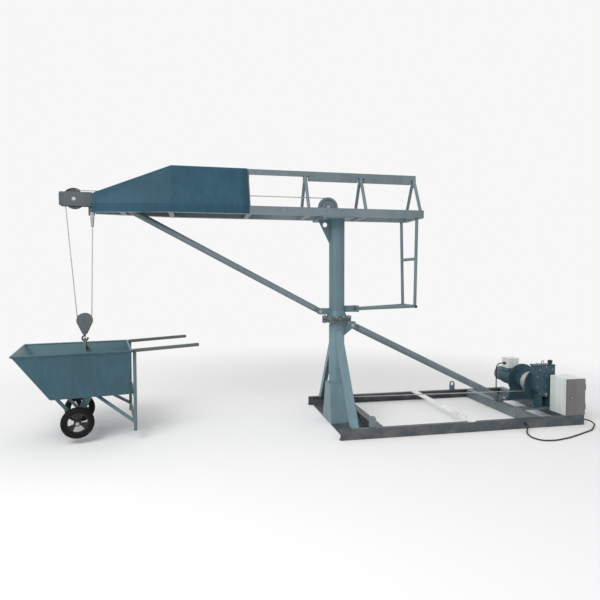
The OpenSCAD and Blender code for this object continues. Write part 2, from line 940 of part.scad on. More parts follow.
module rope_drum() {
    y0 = case_y1 - case_wall;
    y1 = stand_y0 + stand_t - side_gap;
    core = drum_r * cos(180 / loop_rings) - rope_d / 2 - seat_gap;
    color(paint)
        difference() {
            union() {
                y_rod(winch_x, drum_y0, winch_z, drum_l, 2 * core);
                for (y = [drum_y0 - drum_flange_t, drum_y1])
                    y_rod(winch_x, y, winch_z, drum_flange_t, 2 * drum_flange_r);
                y_rod(winch_x, y0, winch_z, drum_y0 - y0, drum_hub_d);
                y_rod(winch_x, drum_y1, winch_z, y1 - drum_y1, drum_hub_d);
            }
            y_rod(winch_x, drum_y0 - over, winch_z, drum_l + 2 * over, 2 * (core - drum_wall));
            y_rod(winch_x, y0 - over, winch_z, y1 - y0 + 2 * over, drum_bore);
        }
}

module drum_gear() {
    color(steel)
        difference() {
            union() {
                y_gear(stage2_y, winch_z, teeth_large);
                y_rod(winch_x, stage2_y + gear_w - over, winch_z, gear_gap + over, drum_hub_d);
            }
            y_rod(winch_x, stage2_y - over, winch_z, case_y1 - stage2_y + over, drum_bore);
        }
}

module layshaft() {
    y0 = case_y0 - cover_plate_t;
    y1 = case_y1 - case_wall + lay_bore_depth - side_gap;
    color(steel) {
        y_gear(stage1_y, lay_z, teeth_large);
        y_gear(stage2_y, lay_z, teeth_small);
        y_rod(winch_x, y0, lay_z, y1 - y0, lay_d);
    }
}

module motor_shaft() {
    y0 = case_y0 - cover_plate_t;
    core0 = motor_y0 + motor_flange_t + shield_t;
    core1 = motor_y0 + motor_l - shield_t;
    y1 = motor_y0 + motor_l + cowl_l - cowl_t - journal;
    color(steel) {
        y_rod(winch_x, y0, winch_z, y1 - y0, shaft_d);
        y_gear(stage1_y, winch_z, teeth_small);
        difference() {
            y_rod(winch_x, core0 + journal, winch_z, core1 - core0 - 2 * journal, 2 * rotor_r);
            y_rod(winch_x, core0 + 2 * journal, winch_z, core1 - core0 + over, 2 * (rotor_r - rotor_wall));
        }
        y_rod(winch_x, y1 - fan_t - journal, winch_z, fan_t, 2 * fan_r);
    }
}

module drum_stand() {
    color(paint)
        difference() {
            union() {
                xz_plate(stand_y0, stand_t) {
                    translate([winch_x, winch_z])
                        circle(r = motor_flange_r);
                    polygon([[winch_x - stand_foot_hw, bed_z], [winch_x + stand_foot_hw, bed_z],
                        [winch_x + motor_flange_r, winch_z], [winch_x - motor_flange_r, winch_z]]);
                }
                for (s = [-1, 1])
                    translate([winch_x + s * (stand_foot_hw - foot_out / 2), 0, 0])
                        span([-foot_out / 2, stand_y0, bed_z],
                            [foot_out / 2, stand_y0 + stand_t + foot_out, bed_z + foot_t_case]);
            }
            y_rod(winch_x, stand_y0 - over, winch_z, stand_t + 2 * over, drum_hub_d + 2 * run_gap);
            for (p = stand_feet)
                translate([p.x, p.y, bed_z - over])
                    cylinder(h = foot_t_case + 2 * over, d = bolt_hole);
        }
}

module motor_body() {
    color(paint)
        difference() {
            union() {
                y_rod(winch_x, motor_y0, winch_z, motor_flange_t, 2 * motor_flange_r);
                y_rod(winch_x, motor_y0, winch_z, motor_l, 2 * motor_r);
                for (i = [0 : fin_n - 1])
                    translate([winch_x, motor_y0 + motor_flange_t, winch_z])
                        rotate([0, 360 * i / fin_n, 0])
                            span([-fin_t / 2, 0, 0], [fin_t / 2, motor_l - motor_flange_t - shield_t, motor_r + fin_h]);
                span([box_x0, motor_y0 + box_y - box_w / 2, winch_z], [box_x0 + box_l, motor_y0 + box_y + box_w / 2,
                    winch_z + motor_r + fin_h]);
            }
            y_rod(winch_x, motor_y0 + motor_flange_t + shield_t, winch_z, motor_l - motor_flange_t - 2 * shield_t,
                2 * (motor_r - motor_wall));
            y_rod(winch_x, motor_y0 - over, winch_z, motor_l + 2 * over, shaft_d + 2 * run_gap);
        }
}

module fan_cowl() {
    y = motor_y0 + motor_l;
    color(paint)
        difference() {
            y_rod(winch_x, y, winch_z, cowl_l, 2 * motor_r);
            y_rod(winch_x, y - over, winch_z, cowl_l - cowl_t + over, 2 * (motor_r - cowl_t));
            for (i = [0 : vent_n - 1])
                y_rod(winch_x + vent_ring * cos(360 * i / vent_n), y, winch_z + vent_ring * sin(360 * i / vent_n),
                    cowl_l + over, vent_d);
        }
}

module terminal_box() {
    z = winch_z + motor_r + fin_h;
    color(light_grey)
        difference() {
            span([box_x0, motor_y0 + box_y - box_w / 2, z],
                [box_x0 + box_l, motor_y0 + box_y + box_w / 2, z + box_h]);
            span([box_x0 + cabinet_t, motor_y0 + box_y - box_w / 2 + cabinet_t, z + cabinet_t],
                [box_x0 + box_l - cabinet_t, motor_y0 + box_y + box_w / 2 - cabinet_t, z + box_h - cabinet_t]);
            translate([box_x0 - over, box_gland_y, box_gland_z])
                rotate([0, 90, 0])
                    cylinder(h = cabinet_t + 2 * over, d = cable_d + side_gap);
        }
}

module base_bolts() {
    ring = (motor_r + fin_h + motor_flange_r) / 2;
    color(steel) {
        for (p = concat(case_feet, stand_feet))
            translate([p.x, p.y, bed_z + foot_t_case])
                bolt(bolt_d, bolt_head, bolt_head_h, foot_t_case + bearer_h - over);
        cover_bolts(screw_head, case_y0 - cover_plate_t - screw_head_h, screw_head_h);
        for (i = [0 : flange_bolt_n - 1])
            y_rod(winch_x + ring * cos(45 + 90 * i), motor_y0 + motor_flange_t, winch_z + ring * sin(45 + 90 * i),
                bolt_head_h, screw_head);
    }
}

// Cabinet and cable

module cabinet_body() {
    knuckle = hinge_l / 2;
    color(light_grey) {
        for (z = [rail_h + door_gap + 2 * hinge_l + seat_gap, rail_h + cabinet_h - door_gap - hinge_l + seat_gap])
            translate([hinge_x, hinge_y, z]) {
                cylinder(h = knuckle, d = hinge_d);
                span([cabinet_x1 - hinge_x, 0, 0], [0, cabinet_y0 + hinge_d - hinge_y, knuckle]);
            }
        difference() {
            span([cabinet_x0, cabinet_y0, rail_h], [cabinet_x1, cabinet_y1, rail_h + cabinet_h]);
            span([cabinet_x0 + cabinet_t, cabinet_y0 - over, rail_h + cabinet_t],
                [cabinet_x1 - cabinet_t, cabinet_y1 - cabinet_t, rail_h + cabinet_h - cabinet_t]);
            translate([cabinet_x0 + cabinet_l / 2, cable_hole_y, rail_h - over])
                cylinder(h = cabinet_t + 2 * over, d = cable_d + side_gap);
        }
    }
}

// Mounting plate with contactors and a terminal row
module cabinet_fittings() {
    y1 = cabinet_y1 - cabinet_t;
    y = y1 - fit_plate_t;
    color(light_grey) {
        span([cabinet_x0 + fit_inset, y, rail_h + fit_inset], [cabinet_x1 - fit_inset, y1, rail_h + cabinet_h - fit_inset]);
        for (i = [0 : contactor_n - 1])
            translate([cabinet_x0 + fit_inset + fit_gap + i * (contactor_w + fit_gap), y - contactor_d,
                rail_h + cabinet_h / 2])
                cube([contactor_w, contactor_d + fit_plate_t / 2, contactor_h]);
        translate([cabinet_x0 + 2 * fit_inset, y - fit_inset, rail_h + cabinet_h / 4])
            cube([cabinet_l - 4 * fit_inset, fit_inset + fit_plate_t / 2, fit_inset]);
    }
}

module cabinet_door() {
    z0 = rail_h + door_gap;
    z1 = rail_h + cabinet_h - door_gap;
    y1 = cabinet_y0 - seat_gap;
    color(dark_paint) {
        difference() {
            span([cabinet_x0, cabinet_y0 - door_t, z0], [cabinet_x1, y1, z1]);
            span([cabinet_x0 + cabinet_t, cabinet_y0 - door_t + cabinet_t, z0 + cabinet_t],
                [cabinet_x1 - cabinet_t, cabinet_y0, z1 - cabinet_t]);
            y_rod(cabinet_x0 + 2 * latch_d, cabinet_y0 - door_t - over, (z0 + z1) / 2, door_t,
                latch_d / 2 + 2 * run_gap);
        }
        for (z = [z0 + hinge_l, z1 - 2 * hinge_l])
            translate([hinge_x, hinge_y, z]) {
                cylinder(h = hinge_l, d = hinge_d);
                span([-hinge_d, -hinge_d / 2, 0], [0, 0, hinge_l]);
            }
    }
}

module door_latch() {
    z = rail_h + cabinet_h / 2;
    x = cabinet_x0 + 2 * latch_d;
    y = cabinet_y0 - door_t;
    color(steel) {
        y_rod(x, y - latch_t - seat_gap, z, latch_t, latch_d);
        span([x - latch_d / 8, y - latch_t - latch_rib, z - latch_d / 2 + side_gap],
            [x + latch_d / 8, y - latch_t, z + latch_d / 2 - side_gap]);
        y_rod(x, y - side_gap, z, door_t, latch_d / 2);
    }
}

// Bung with a tapered boot in the rail's end, grommet in the rail web and gland on the terminal box
module cable_glands() {
    bung_x = rail_x1 - bung_in;
    hole = cable_d + 2 * side_gap;
    color(rubber)
        difference() {
            union() {
                span([bung_x - bung_t, -rail_y + rail_web, rail_t], [bung_x, -rail_in, rail_h - rail_t]);
                translate([bung_x - over, bung_y, grommet_z])
                    rotate([0, 90, 0])
                        cylinder(h = boot_l, d1 = boot_d, d2 = hole + 2 * side_gap);
                translate([box_x0 - gland_l, box_gland_y, box_gland_z])
                    rotate([0, 90, 0])
                        cylinder(h = gland_l, d = gland_d);
                y_rod(grommet_x, -rail_y, grommet_z, rail_web, grommet_d);
                y_rod(grommet_x, -rail_y - grommet_t, grommet_z, grommet_t, grommet_d + 2 * grommet_t);
            }
            translate([bung_x, bung_y, grommet_z])
                rotate([0, 90, 0])
                    cylinder(h = boot_l, d = hole);
            y_rod(grommet_x, -rail_y - grommet_t - over, grommet_z, rail_web + grommet_t + 2 * over, hole);
        }
}

module supply_cable() {
    color(rubber)
        sweep(rounded(cable_route, cable_d * bend_shares), cable_d, cable_sides, [0, 0, 1]);
}

// Rope

function turn(a, y) = [winch_x + drum_r * cos(a), y, winch_z + drum_r * sin(a)];
winding = [for (i = [0 : drum_turns * loop_rings]) let (k = i / loop_rings)
    turn(-90 - 360 * k, drum_start_y + k * rope_pitch)];
winding_gap = min([for (i = [0 : len(winding) - 1 - loop_rings])
    norm(winding[i + loop_rings] - winding[i])]) - rope_d;
echo(winding_gap = winding_gap);

module winch_rope() {
    wrap_steps = 8;
    lead = [[winch_x + rope_d, drum_start_y, winch_z - drum_r]];
    wrap = [for (i = [0 : wrap_steps]) let (a = -90 - 90 * i / wrap_steps)
        foot_dir * (foot_r + foot_r * cos(a)) + [0, 0, foot_z + foot_r * sin(a)]];
    color(rope_grey)
        sweep(concat(lead, winding, wrap, [[0, 0, top_z - rope_d - seat_gap]]), rope_d, rope_sides, [0, 1, 0]);
}

// Tangents of the two falls
fall_d = block_c - head_c;
fall_a = atan2(fall_d.y, fall_d.x) - acos((head_r - block_r) / norm(fall_d));
front_n = [cos(fall_a), sin(fall_a)];
front_top = head_c + head_r * front_n;
front_low = block_c + block_r * front_n;
rear_d = anchor_p - block_c;
rear_a = atan2(rear_d.y, rear_d.x) - acos(block_r / norm(rear_d));
rear_low = block_c + block_r * [cos(rear_a), sin(rear_a)];
front_u = unit(front_top - front_low);
rear_u = unit(anchor_p - rear_low);
// A point in the plane of the boom
function in_boom(p) = [p.x, 0, p.y];

module boom_rope() {
    steps = 8;
    color(rope_grey)
        sweep(concat([[0, 0, top_z - rope_d]], arc([-top_r, top_z], top_r, 0, 90, steps),
            arc(head_c, head_r, 90, 360 + fall_a, steps), [in_boom(front_top - rope_d * front_u)]),
            rope_d, rope_sides, [0, 1, 0]);
}

module front_fall() {
    color(rope_grey)
        rod(in_boom(front_top - (rope_d + seat_gap) * front_u),
            in_boom(front_low + (rope_d + seat_gap) * front_u), rope_d);
}

module rear_fall() {
    color(rope_grey)
        rod(in_boom(anchor_p - seat_gap * rear_u), in_boom(rear_low + (rope_d + seat_gap) * rear_u), rope_d);
}

module block_rope() {
    steps = 16;
    color(rope_grey)
        sweep(concat([in_boom(front_low + rope_d * front_u)],
            arc(block_c, block_r, 360 + fall_a, 360 + rear_a, steps),
            [in_boom(rear_low + rope_d * rear_u)]), rope_d, rope_sides, [0, 1, 0]);
}

module rope_anchor() {
    ear = anchor_ear;
    r = anchor_r;
    color(steel) {
        translate([anchor_x, 0, anchor_p.y])
            cylinder(h = socket_h - 2 * r, d1 = rope_d + 2 * ear, d2 = 2 * r + ear);
        for (s = [-1, 1])
            xz_plate(s > 0 ? tab_t / 2 + seat_gap : -tab_t / 2 - seat_gap - ear, ear)
                translate([anchor_x, anchor_top - 2 * r - over]) {
                    translate([-r, 0])
                        square([2 * r, 2 * r + over]);
                    translate([0, 2 * r + over])
                        circle(r = r);
                }
        y_rod(anchor_x, -tab_t / 2 - ear - seat_gap - pin_head, anchor_top, tab_t + 2 * (ear + seat_gap + pin_head), r);
    }
}

// Slewing column and boom

module upper_column() {
    inner = sheave_w / 2 + side_gap;
    ear_in = tab_t / 2 + side_gap;
    color(paint)
        difference() {
            union() {
                translate([0, 0, upper_z])
                    cylinder(h = boom_z - plate_t - upper_z, d = column_d);
                translate([0, 0, upper_z])
                    cylinder(h = flange_t, d = flange_d);
                translate([0, 0, upper_z + flange_t])
                    cylinder(h = collar_h, d1 = column_d + 2 * collar_w, d2 = column_d);
                translate([0, 0, upper_z - spindle_l])
                    cylinder(h = spindle_l + flange_t, d = spindle_d);
                span([-plate_x0, -boom_w / 2, boom_z - plate_t], [plate_x1, boom_w / 2, boom_z]);
                xz_plate(-gusset_t / 2, gusset_t)
                    polygon([[0, boom_z - plate_t], [-plate_x0 + over, boom_z - plate_t],
                        [-column_d / 2, boom_z - plate_t - gusset_h], [0, boom_z - plate_t - gusset_h]]);
                for (s = [-1, 1]) {
                    xz_plate(s > 0 ? inner : -inner - foot_yoke_t, foot_yoke_t)
                        translate([-top_r, boom_z - over]) {
                            translate([-yoke_top, 0])
                                square([2 * yoke_top, top_z - boom_z + over]);
                            translate([0, top_z - boom_z + over])
                                circle(r = yoke_top);
                        }
                    xz_plate(s > 0 ? ear_in : -ear_in - ear_t, ear_t)
                        hull() {
                            translate(strut_pin)
                                circle(r = ear_r, $fn = 32);
                            translate([-column_d / 2, strut_pin.y - ear_r])
                                square([column_d / 4, 2 * ear_r]);
                        }
                }
                span([0, -gusset_t / 2, tail_z - tail_pad_h / 2],
                    [tail_lug_x - tail_pad_t + over, gusset_t / 2, tail_z + tail_pad_h / 2]);
                span([tail_lug_x - tail_pad_t, -tail_pad_w / 2, tail_z - tail_pad_h / 2],
                    [tail_lug_x, tail_pad_w / 2, tail_z + tail_pad_h / 2]);
            }
            translate([0, 0, upper_z + flange_t])
                cylinder(h = boom_z - plate_t - upper_z - flange_t, d = bore_d);
            translate([0, 0, upper_z - spindle_l - over])
                cylinder(h = spindle_l + flange_t + 2 * over, d = spindle_d - 2 * spindle_wall);
            translate([0, 0, boom_z - plate_t - over])
                cylinder(h = plate_t + 2 * over, d = head_hole);
            y_rod(-top_r, -foot_hw, top_z, 2 * foot_hw, head_pin_d);
            y_rod(strut_pin.x, -foot_hw, strut_pin.y, 2 * foot_hw, pin_d);
            y_rod(-column_d / 2 - gusset_hole, -gusset_t, boom_z - plate_t - gusset_hole, 2 * gusset_t, gusset_hole);
        }
}

// Centre line of a bottom chord at a station along X
function chord_line(x) = x > -peak ? chord_y : chord_y - (chord_y - nose_y) * (-x - peak) / (nose - peak);
// Half length of the strut's upper pin, short of the chord wall
top_pin_hl = chord_line(strut_top.x) - chord_w / 2 - over;
// Top face of the top chord at a station along X
function top_line(x) = x > -peak ? boom_top : boom_top - top_slope * (-x - peak);

module bottom_chords() {
    boss_y = sleeve_l / 2 + side_gap;
    path = [for (x = [boom_tail, -peak, -nose]) [x, chord_line(x)]];
    hollow = [for (x = [boom_tail + over, -peak, -nose - over]) [x, chord_line(x)]];
    color(paint)
        for (s = [-1, 1])
            scale([1, s, 1])
                difference() {
                    union() {
                        translate([0, 0, boom_z])
                            linear_extrude(chord_h)
                                polygon(ribbon(path, chord_w));
                        y_rod(strut_top.x, boss_y, strut_top.y, chord_line(strut_top.x) - boss_y, sleeve_d);
                    }
                    translate([0, 0, boom_z + chord_wall])
                        linear_extrude(chord_h - 2 * chord_wall)
                            polygon(ribbon(hollow, chord_w - 2 * chord_wall));
                    y_rod(strut_top.x, 0, strut_top.y, top_pin_hl + seat_gap, top_pin_d);
                }
}

module top_chord() {
    path = [for (x = [boom_tail, -peak, -top_end]) [x, top_line(x) - top_w / 2]];
    hollow = [for (x = [boom_tail + over, -peak, -top_end - over]) [x, top_line(x) - top_w / 2]];
    color(paint) {
        difference() {
            xz_plate(-top_w / 2, top_w)
                polygon(ribbon(path, top_w));
            xz_plate(chord_wall - top_w / 2, top_w - 2 * chord_wall)
                polygon(ribbon(hollow, top_w - 2 * chord_wall));
        }
        for (i = [0, 1])
            difference() {
                span([frame_xs[i + 1] + doubler_in, -top_w / 2, boom_top - top_w - doubler_h],
                    [frame_xs[i] - doubler_in, top_w / 2, boom_top - top_w]);
                span([frame_xs[i + 1], chord_wall - top_w / 2, boom_top - top_w - doubler_h + chord_wall],
                    [frame_xs[i], top_w / 2 - chord_wall, boom_top - top_w - chord_wall]);
            }
    }
}

// Sloping legs of each frame and the tie between the bottom chords
module boom_lattice() {
    path = [for (x = [boom_tail + over, -peak, -nose]) [x, chord_line(x)]];
    color(paint)
        for (x = concat(frame_xs, [-peak, -nose_frame])) {
            y = chord_line(x);
            z = top_line(x) - top_w / 2;
            for (s = [-1, 1])
                difference() {
                    tube([x, 0, z], [x, s * y, boom_z + chord_h / 2], leg_d, leg_wall);
                    span([x - bay, -top_w / 2, boom_z], [x + bay, top_w / 2, boom_top + bay]);
                    span([x - bay, -boom_w, boom_z - bay], [x + bay, boom_w, chord_top]);
                }
            difference() {
                box_beam(x - tie / 2, tie, -y, y, boom_z, tie, chord_wall);
                for (s = [-1, 1])
                    scale([1, s, 1])
                        translate([0, 0, boom_z - over])
                            linear_extrude(chord_h)
                                polygon(ribbon(path, chord_w));
            }
        }
}

function cover_section(hw, top_hw, z_top, z_low, t) = let (side_z = chord_top + cover_gap + cover_t - t)
    [[-hw + t, z_low], [hw - t, z_low], [hw - t, side_z], [top_hw - t, z_top - t], [-top_hw + t, z_top - t],
        [-hw + t, side_z]];

module cover_skin(t, ends) {
    grow = cover_gap + cover_t;
    low = boom_z - (t > 0 ? over : 0);
    front = nose + nose_t;
    slice = over / 10;
    rear_cut = cover_section(boom_w / 2 + grow, top_w / 2 + grow, boom_top + grow, low, t);
    nose_cut = cover_section(nose_y + chord_w / 2 + grow, top_w / 2 + grow, top_line(-front) + grow, low, t);
    hull() {
        yz_plate(-peak, slice)
            polygon(rear_cut);
        yz_plate(cover_rear + ends - slice, slice)
            polygon(rear_cut);
    }
    hull() {
        yz_plate(-peak, slice)
            polygon(rear_cut);
        yz_plate(-front - ends, slice)
            polygon(nose_cut);
    }
}

module boom_cover() {
    color(paint)
        difference() {
            cover_skin(0, 0);
            cover_skin(cover_t, over);
            span([-nose - nose_t - over, -slot_w / 2, nose_top - over], [-nose + slot_l, slot_w / 2, boom_top]);
        }
}

module head_cheeks() {
    inner = sheave_w / 2 + side_gap;
    x0 = -reach - head_end;
    x1 = -nose - nose_t;
    z0 = head_z - cheek_h / 2;
    hw = nose_y + chord_w / 2;
    color(paint)
        difference() {
            union() {
                yz_plate(x1, nose_t)
                    polygon([[-hw, boom_z], [hw, boom_z], [hw, chord_top], [top_w / 2, top_line(x1)],
                        [-top_w / 2, top_line(x1)], [-hw, chord_top]]);
                for (s = [-1, 1])
                    xz_plate(s > 0 ? inner : -inner - cheek_t, cheek_t)
                        translate([x0, z0])
                            square([x1 - x0 + over, cheek_h]);
                span([x0, -inner - over, z0], [x0 + nose_t, inner + over, z0 + cheek_h]);
                span([anchor_x - ear_r, -tab_t / 2, anchor_top - ear_r / 2], [x1 + over, tab_t / 2, head_z]);
            }
            y_rod(-reach, -foot_hw, head_z, 2 * foot_hw, head_pin_d);
            y_rod(anchor_x, -tab_t, anchor_top, 2 * tab_t, anchor_r);
        }
}

// Pins of the two boom sheaves and of both strut ends
module boom_pins() {
    cheek = sheave_w + 2 * side_gap + 2 * cheek_t;
    yoke = sheave_w + 2 * side_gap + 2 * foot_yoke_t;
    clevis = tab_t + 2 * side_gap + 2 * ear_t;
    color(steel) {
        for (p = [[-reach, head_z, cheek, head_pin_d], [-top_r, top_z, yoke, head_pin_d],
            [strut_pin.x, strut_pin.y, clevis, pin_d]]) {
            y_rod(p[0], -p[2] / 2, p[1], p[2], p[3]);
            for (y = [-p[2] / 2 - pin_head, p[2] / 2])
                y_rod(p[0], y, p[1], pin_head, p[3] + 2 * pin_head);
        }
        y_rod(strut_top.x, -top_pin_hl, strut_top.y, 2 * top_pin_hl, top_pin_d);
    }
}

module boom_strut() {
    a = [strut_pin.x, 0, strut_pin.y];
    b = [strut_top.x, 0, strut_top.y];
    u = unit(b - a);
    color(paint)
        difference() {
            union() {
                tube(a + u * stay_tab_l, b, strut_d, strut_wall);
                xz_plate(-tab_t / 2, tab_t)
                    hull() {
                        translate(strut_pin)
                            circle(d = strut_d - strut_wall, $fn = 32);
                        translate(strut_pin + (stay_tab_l + strut_d) * [u.x, u.z])
                            circle(d = strut_d - strut_wall, $fn = 32);
                    }
                y_rod(b.x, -sleeve_l / 2, b.z, sleeve_l, sleeve_d);
            }
            y_rod(a.x, -tab_t, a.z, 2 * tab_t, pin_d);
            y_rod(b.x, -sleeve_l, b.z, 2 * sleeve_l, top_pin_d);
        }
}

// Verticals, bottom bar, rung and the bars back to the column
module tail_lines(d) {
    x = frame_tail - tie;
    low_x = x + tail_lean;
    share = (boom_z - tail_rung_z) / (boom_z - tail_low_z);
    rung_y = chord_y - (chord_y - tail_low_hw) * share;
    bar_y = tail_low_hw - tail_d;
    for (s = [-1, 1]) {
        rod([x, s * chord_y, boom_z + over], [low_x, s * tail_low_hw, tail_low_z], d);
        rod([low_x, s * bar_y, tail_low_z], [tail_lug_x, s * tail_bar_y, tail_z], d);
    }
    rod([low_x, -tail_low_hw - tail_d, tail_low_z], [low_x, tail_low_hw + tail_d, tail_low_z], d);
    rod([x, -rung_y, tail_rung_z], [x, rung_y, tail_rung_z], d);
}

module tail_frame() {
    color(paint)
        difference() {
            union() {
                tail_lines(tail_d);
                span([tail_lug_x, -tail_pad_w / 2, tail_z - tail_pad_h / 2],
                    [tail_lug_x + tail_pad_t, tail_pad_w / 2, tail_z + tail_pad_h / 2]);
            }
            tail_lines(tail_d - 2 * tail_wall);
            span([0, -boom_w, boom_z], [boom_tail, boom_w, boom_top]);
            span([0, -boom_w, tail_low_z - bay], [tail_lug_x, boom_w, boom_z]);
        }
}

module head_sheave() {
    color(dark_paint)
        y_sheave(-reach, 0, head_z, head_r, head_pin_d);
}

module top_sheave() {
    color(dark_paint)
        y_sheave(-top_r, 0, top_z, top_r, head_pin_d);
}

module foot_sheave() {
    color(dark_paint)
        rotate([0, 0, fleet])
            y_sheave(foot_r, 0, foot_z, foot_r, foot_pin_d);
}

// Hook block

module block_cheeks() {
    inner = block_w / 2 + side_gap;
    outer = inner + block_cheek_t;
    color(dark_paint)
        difference() {
            union() {
                for (s = [-1, 1])
                    xz_plate(s > 0 ? inner : -outer, block_cheek_t)
                        hull() {
                            translate(block_c)
                                circle(r = block_r + lip, $fn = 48);
                            translate([hook_x, trunnion_z])
                                circle(r = trunnion_r, $fn = 32);
                        }
                y_rod(hook_x, -outer - pin_head, block_z, 2 * (outer + pin_head), block_pin_d);
                y_rod(hook_x, -outer, trunnion_z, 2 * outer, trunnion_d);
            }
            translate([hook_x, 0, trunnion_z - trunnion_r])
                cylinder(h = 2 * trunnion_r, d = shank_d + 2 * run_gap);
        }
}

module block_sheave() {
    color(dark_paint)
        y_sheave(hook_x, 0, block_z, block_r, block_pin_d, block_w);
}

// Everything on the hook turns about the hook's axis
module on_hook() {
    translate([hook_x, 0, 0])
        rotate([0, 0, barrow_turn])
            children();
}

module lifting_hook() {
    color(dark_paint)
        on_hook() {
            translate([0, 0, bowl_z + bowl_r - hook_rod / 4])
                cylinder(h = trunnion_z + trunnion_d / 2 + nut_h - bowl_z - bowl_r + hook_rod / 4, d = shank_d);
            translate([0, 0, trunnion_z + trunnion_d / 2 + seat_gap])
                cylinder(h = nut_h, d = nut_d, $fn = 6);
            translate([0, 0, bowl_z])
                rotate([90, 0, 0])
                    rotate([0, 0, 90])
                        rotate_extrude(angle = bowl_a)
                            translate([bowl_r, 0])
                                circle(d = hook_rod);
        }
}

module bail() {
    color(steel)
        on_hook()
            difference() {
                union() {
                    for (s = [-1, 1]) {
                        rod([0, 0, bail_z], [0, s * eye_y, pivot_z], bail_d);
                        y_rod(0, s * eye_y - bail_eye_t / 2, pivot_z, bail_eye_t, 2 * bail_eye_r);
                    }
                    translate([0, 0, bail_z])
                        sphere(d = bail_knob);
                }
                for (s = [-1, 1])
                    y_rod(0, s * eye_y - bail_eye_r, pivot_z, 2 * bail_eye_r, pivot_d + 4 * run_gap);
            }
}

// Barrow

module tray_shell(t) {
    slice = over / 10;
    lift = t > 0 ? t : 0;
    hull() {
        span([-floor_front + t, -floor_hw + t, tray_z + lift], [floor_rear - t, floor_hw - t, tray_z + lift + slice]);
        span([-rim_front + t, -rim_hw + t, rim_z - slice + lift], [rim_rear - t, rim_hw - t, rim_z + lift]);
    }
}

module tray() {
    corners = [[-rim_front, -rim_hw], [rim_rear, -rim_hw], [rim_rear, rim_hw], [-rim_front, rim_hw]];
    color(paint)
        on_hook() {
            difference() {
                union() {
                    tray_shell(0);
                    for (i = [0 : 3]) {
                        a = corners[i];
                        b = corners[(i + 1) % 4];
                        rod([a.x, a.y, rim_z], [b.x, b.y, rim_z], rim_d);
                        translate([a.x, a.y, rim_z])
                            sphere(d = rim_d);
                    }
                }
                tray_shell(tray_t);
            }
            for (s = [-1, 1])
                y_rod(0, s > 0 ? eye_y - bail_eye_t : -pivot_wall, pivot_z, pivot_wall - eye_y + bail_eye_t, pivot_d);
        }
}

module frame_tubes(d) {
    floor_z = tray_z - frame_tube / 2;
    tie_z = (leg_foot_z + axle_z) / 2 + frame_tube;
    for (s = [-1, 1]) {
        rod([leg_x, s * leg_y, leg_foot_z], [leg_x, s * leg_y, rim_z - handle_d / 2 - seat_gap], d);
        rod([-floor_front, s * bearer_y, floor_z], [leg_x, s * bearer_y, floor_z], d);
        rod([floor_rear / 4, s * bearer_y, floor_z], [leg_x, s * leg_y, tie_z], d);
    }
    for (z = [floor_z, tie_z])
        rod([leg_x, -leg_y, z], [leg_x, leg_y, z], d);
}

module barrow_frame() {
    rise = tray_z - frame_tube;
    color(paint)
        on_hook() {
            difference() {
                frame_tubes(frame_tube);
                frame_tubes(frame_tube - 2 * frame_wall);
            }
            difference() {
                for (s = [-1, 1])
                    xz_plate(s * bearer_y - bracket_t / 2, bracket_t) {
                        for (x = [axle_x - bracket_front, axle_x + bracket_rear])
                            polygon([[x - bracket_w / 2, rise + bracket_t], [x + bracket_w / 2, rise + bracket_t],
                                [axle_x + bracket_w / 2, axle_z], [axle_x - bracket_w / 2, axle_z]]);
                        translate([axle_x, axle_z])
                            circle(r = axle_d);
                    }
                frame_tubes(frame_tube - frame_wall);
            }
            y_rod(axle_x, -(track + hub_l) / 2 - pin_head, axle_z, track + hub_l + 2 * pin_head, axle_d);
        }
}

module handles() {
    color(paint)
        on_hook()
            for (s = [-1, 1])
                tube([rim_rear + rim_d / 2 + seat_gap, s * leg_y, rim_z],
                    [rim_rear + handle_l, s * leg_y, rim_z + handle_rise], handle_d, frame_wall);
}

module tyre(s) {
    color(rubber)
        on_hook()
            translate([axle_x, s * track / 2, axle_z])
                rotate([90, 0, 0])
                    rotate_extrude($fn = 64)
                        difference() {
                            translate([wheel_d / 2 - tyre_r, 0])
                                circle(r = tyre_r);
                            translate([0, -tyre_w])
                                square([wheel_rim_r, 2 * tyre_w]);
                        }
}

module hub(s) {
    r = wheel_rim_r;
    color(rubber)
        on_hook()
            translate([axle_x, s * track / 2, axle_z])
                rotate([90, 0, 0])
                    difference() {
                        union() {
                            translate([0, 0, -hub_l / 2])
                                cylinder(h = hub_l, r = hub_r);
                            translate([0, 0, -disc_t / 2])
                                cylinder(h = disc_t, r = r);
                            translate([0, 0, -tyre_r / 2])
                                difference() {
                                    cylinder(h = tyre_r, r = r);
                                    translate([0, 0, -over])
                                        cylinder(h = tyre_r + 2 * over, r = r - rim_band);
                                }
                        }
                        translate([0, 0, -hub_l])
                            cylinder(h = 2 * hub_l, d = axle_d + 2 * run_gap);
                        for (i = [0 : kidney_n - 1])
                            rotate(360 * i / kidney_n)
                                rotate_extrude(angle = kidney_a)
                                    translate([hub_r + disc_rim, -disc_t])
                                        square([r - rim_band - hub_r - 2 * disc_rim, 2 * disc_t]);
                    }
}

module left_tyre() {
    tyre(-1);
}

module left_hub() {
    hub(-1);
}

module right_tyre() {
    tyre(1);
}

module right_hub() {
    hub(1);
}

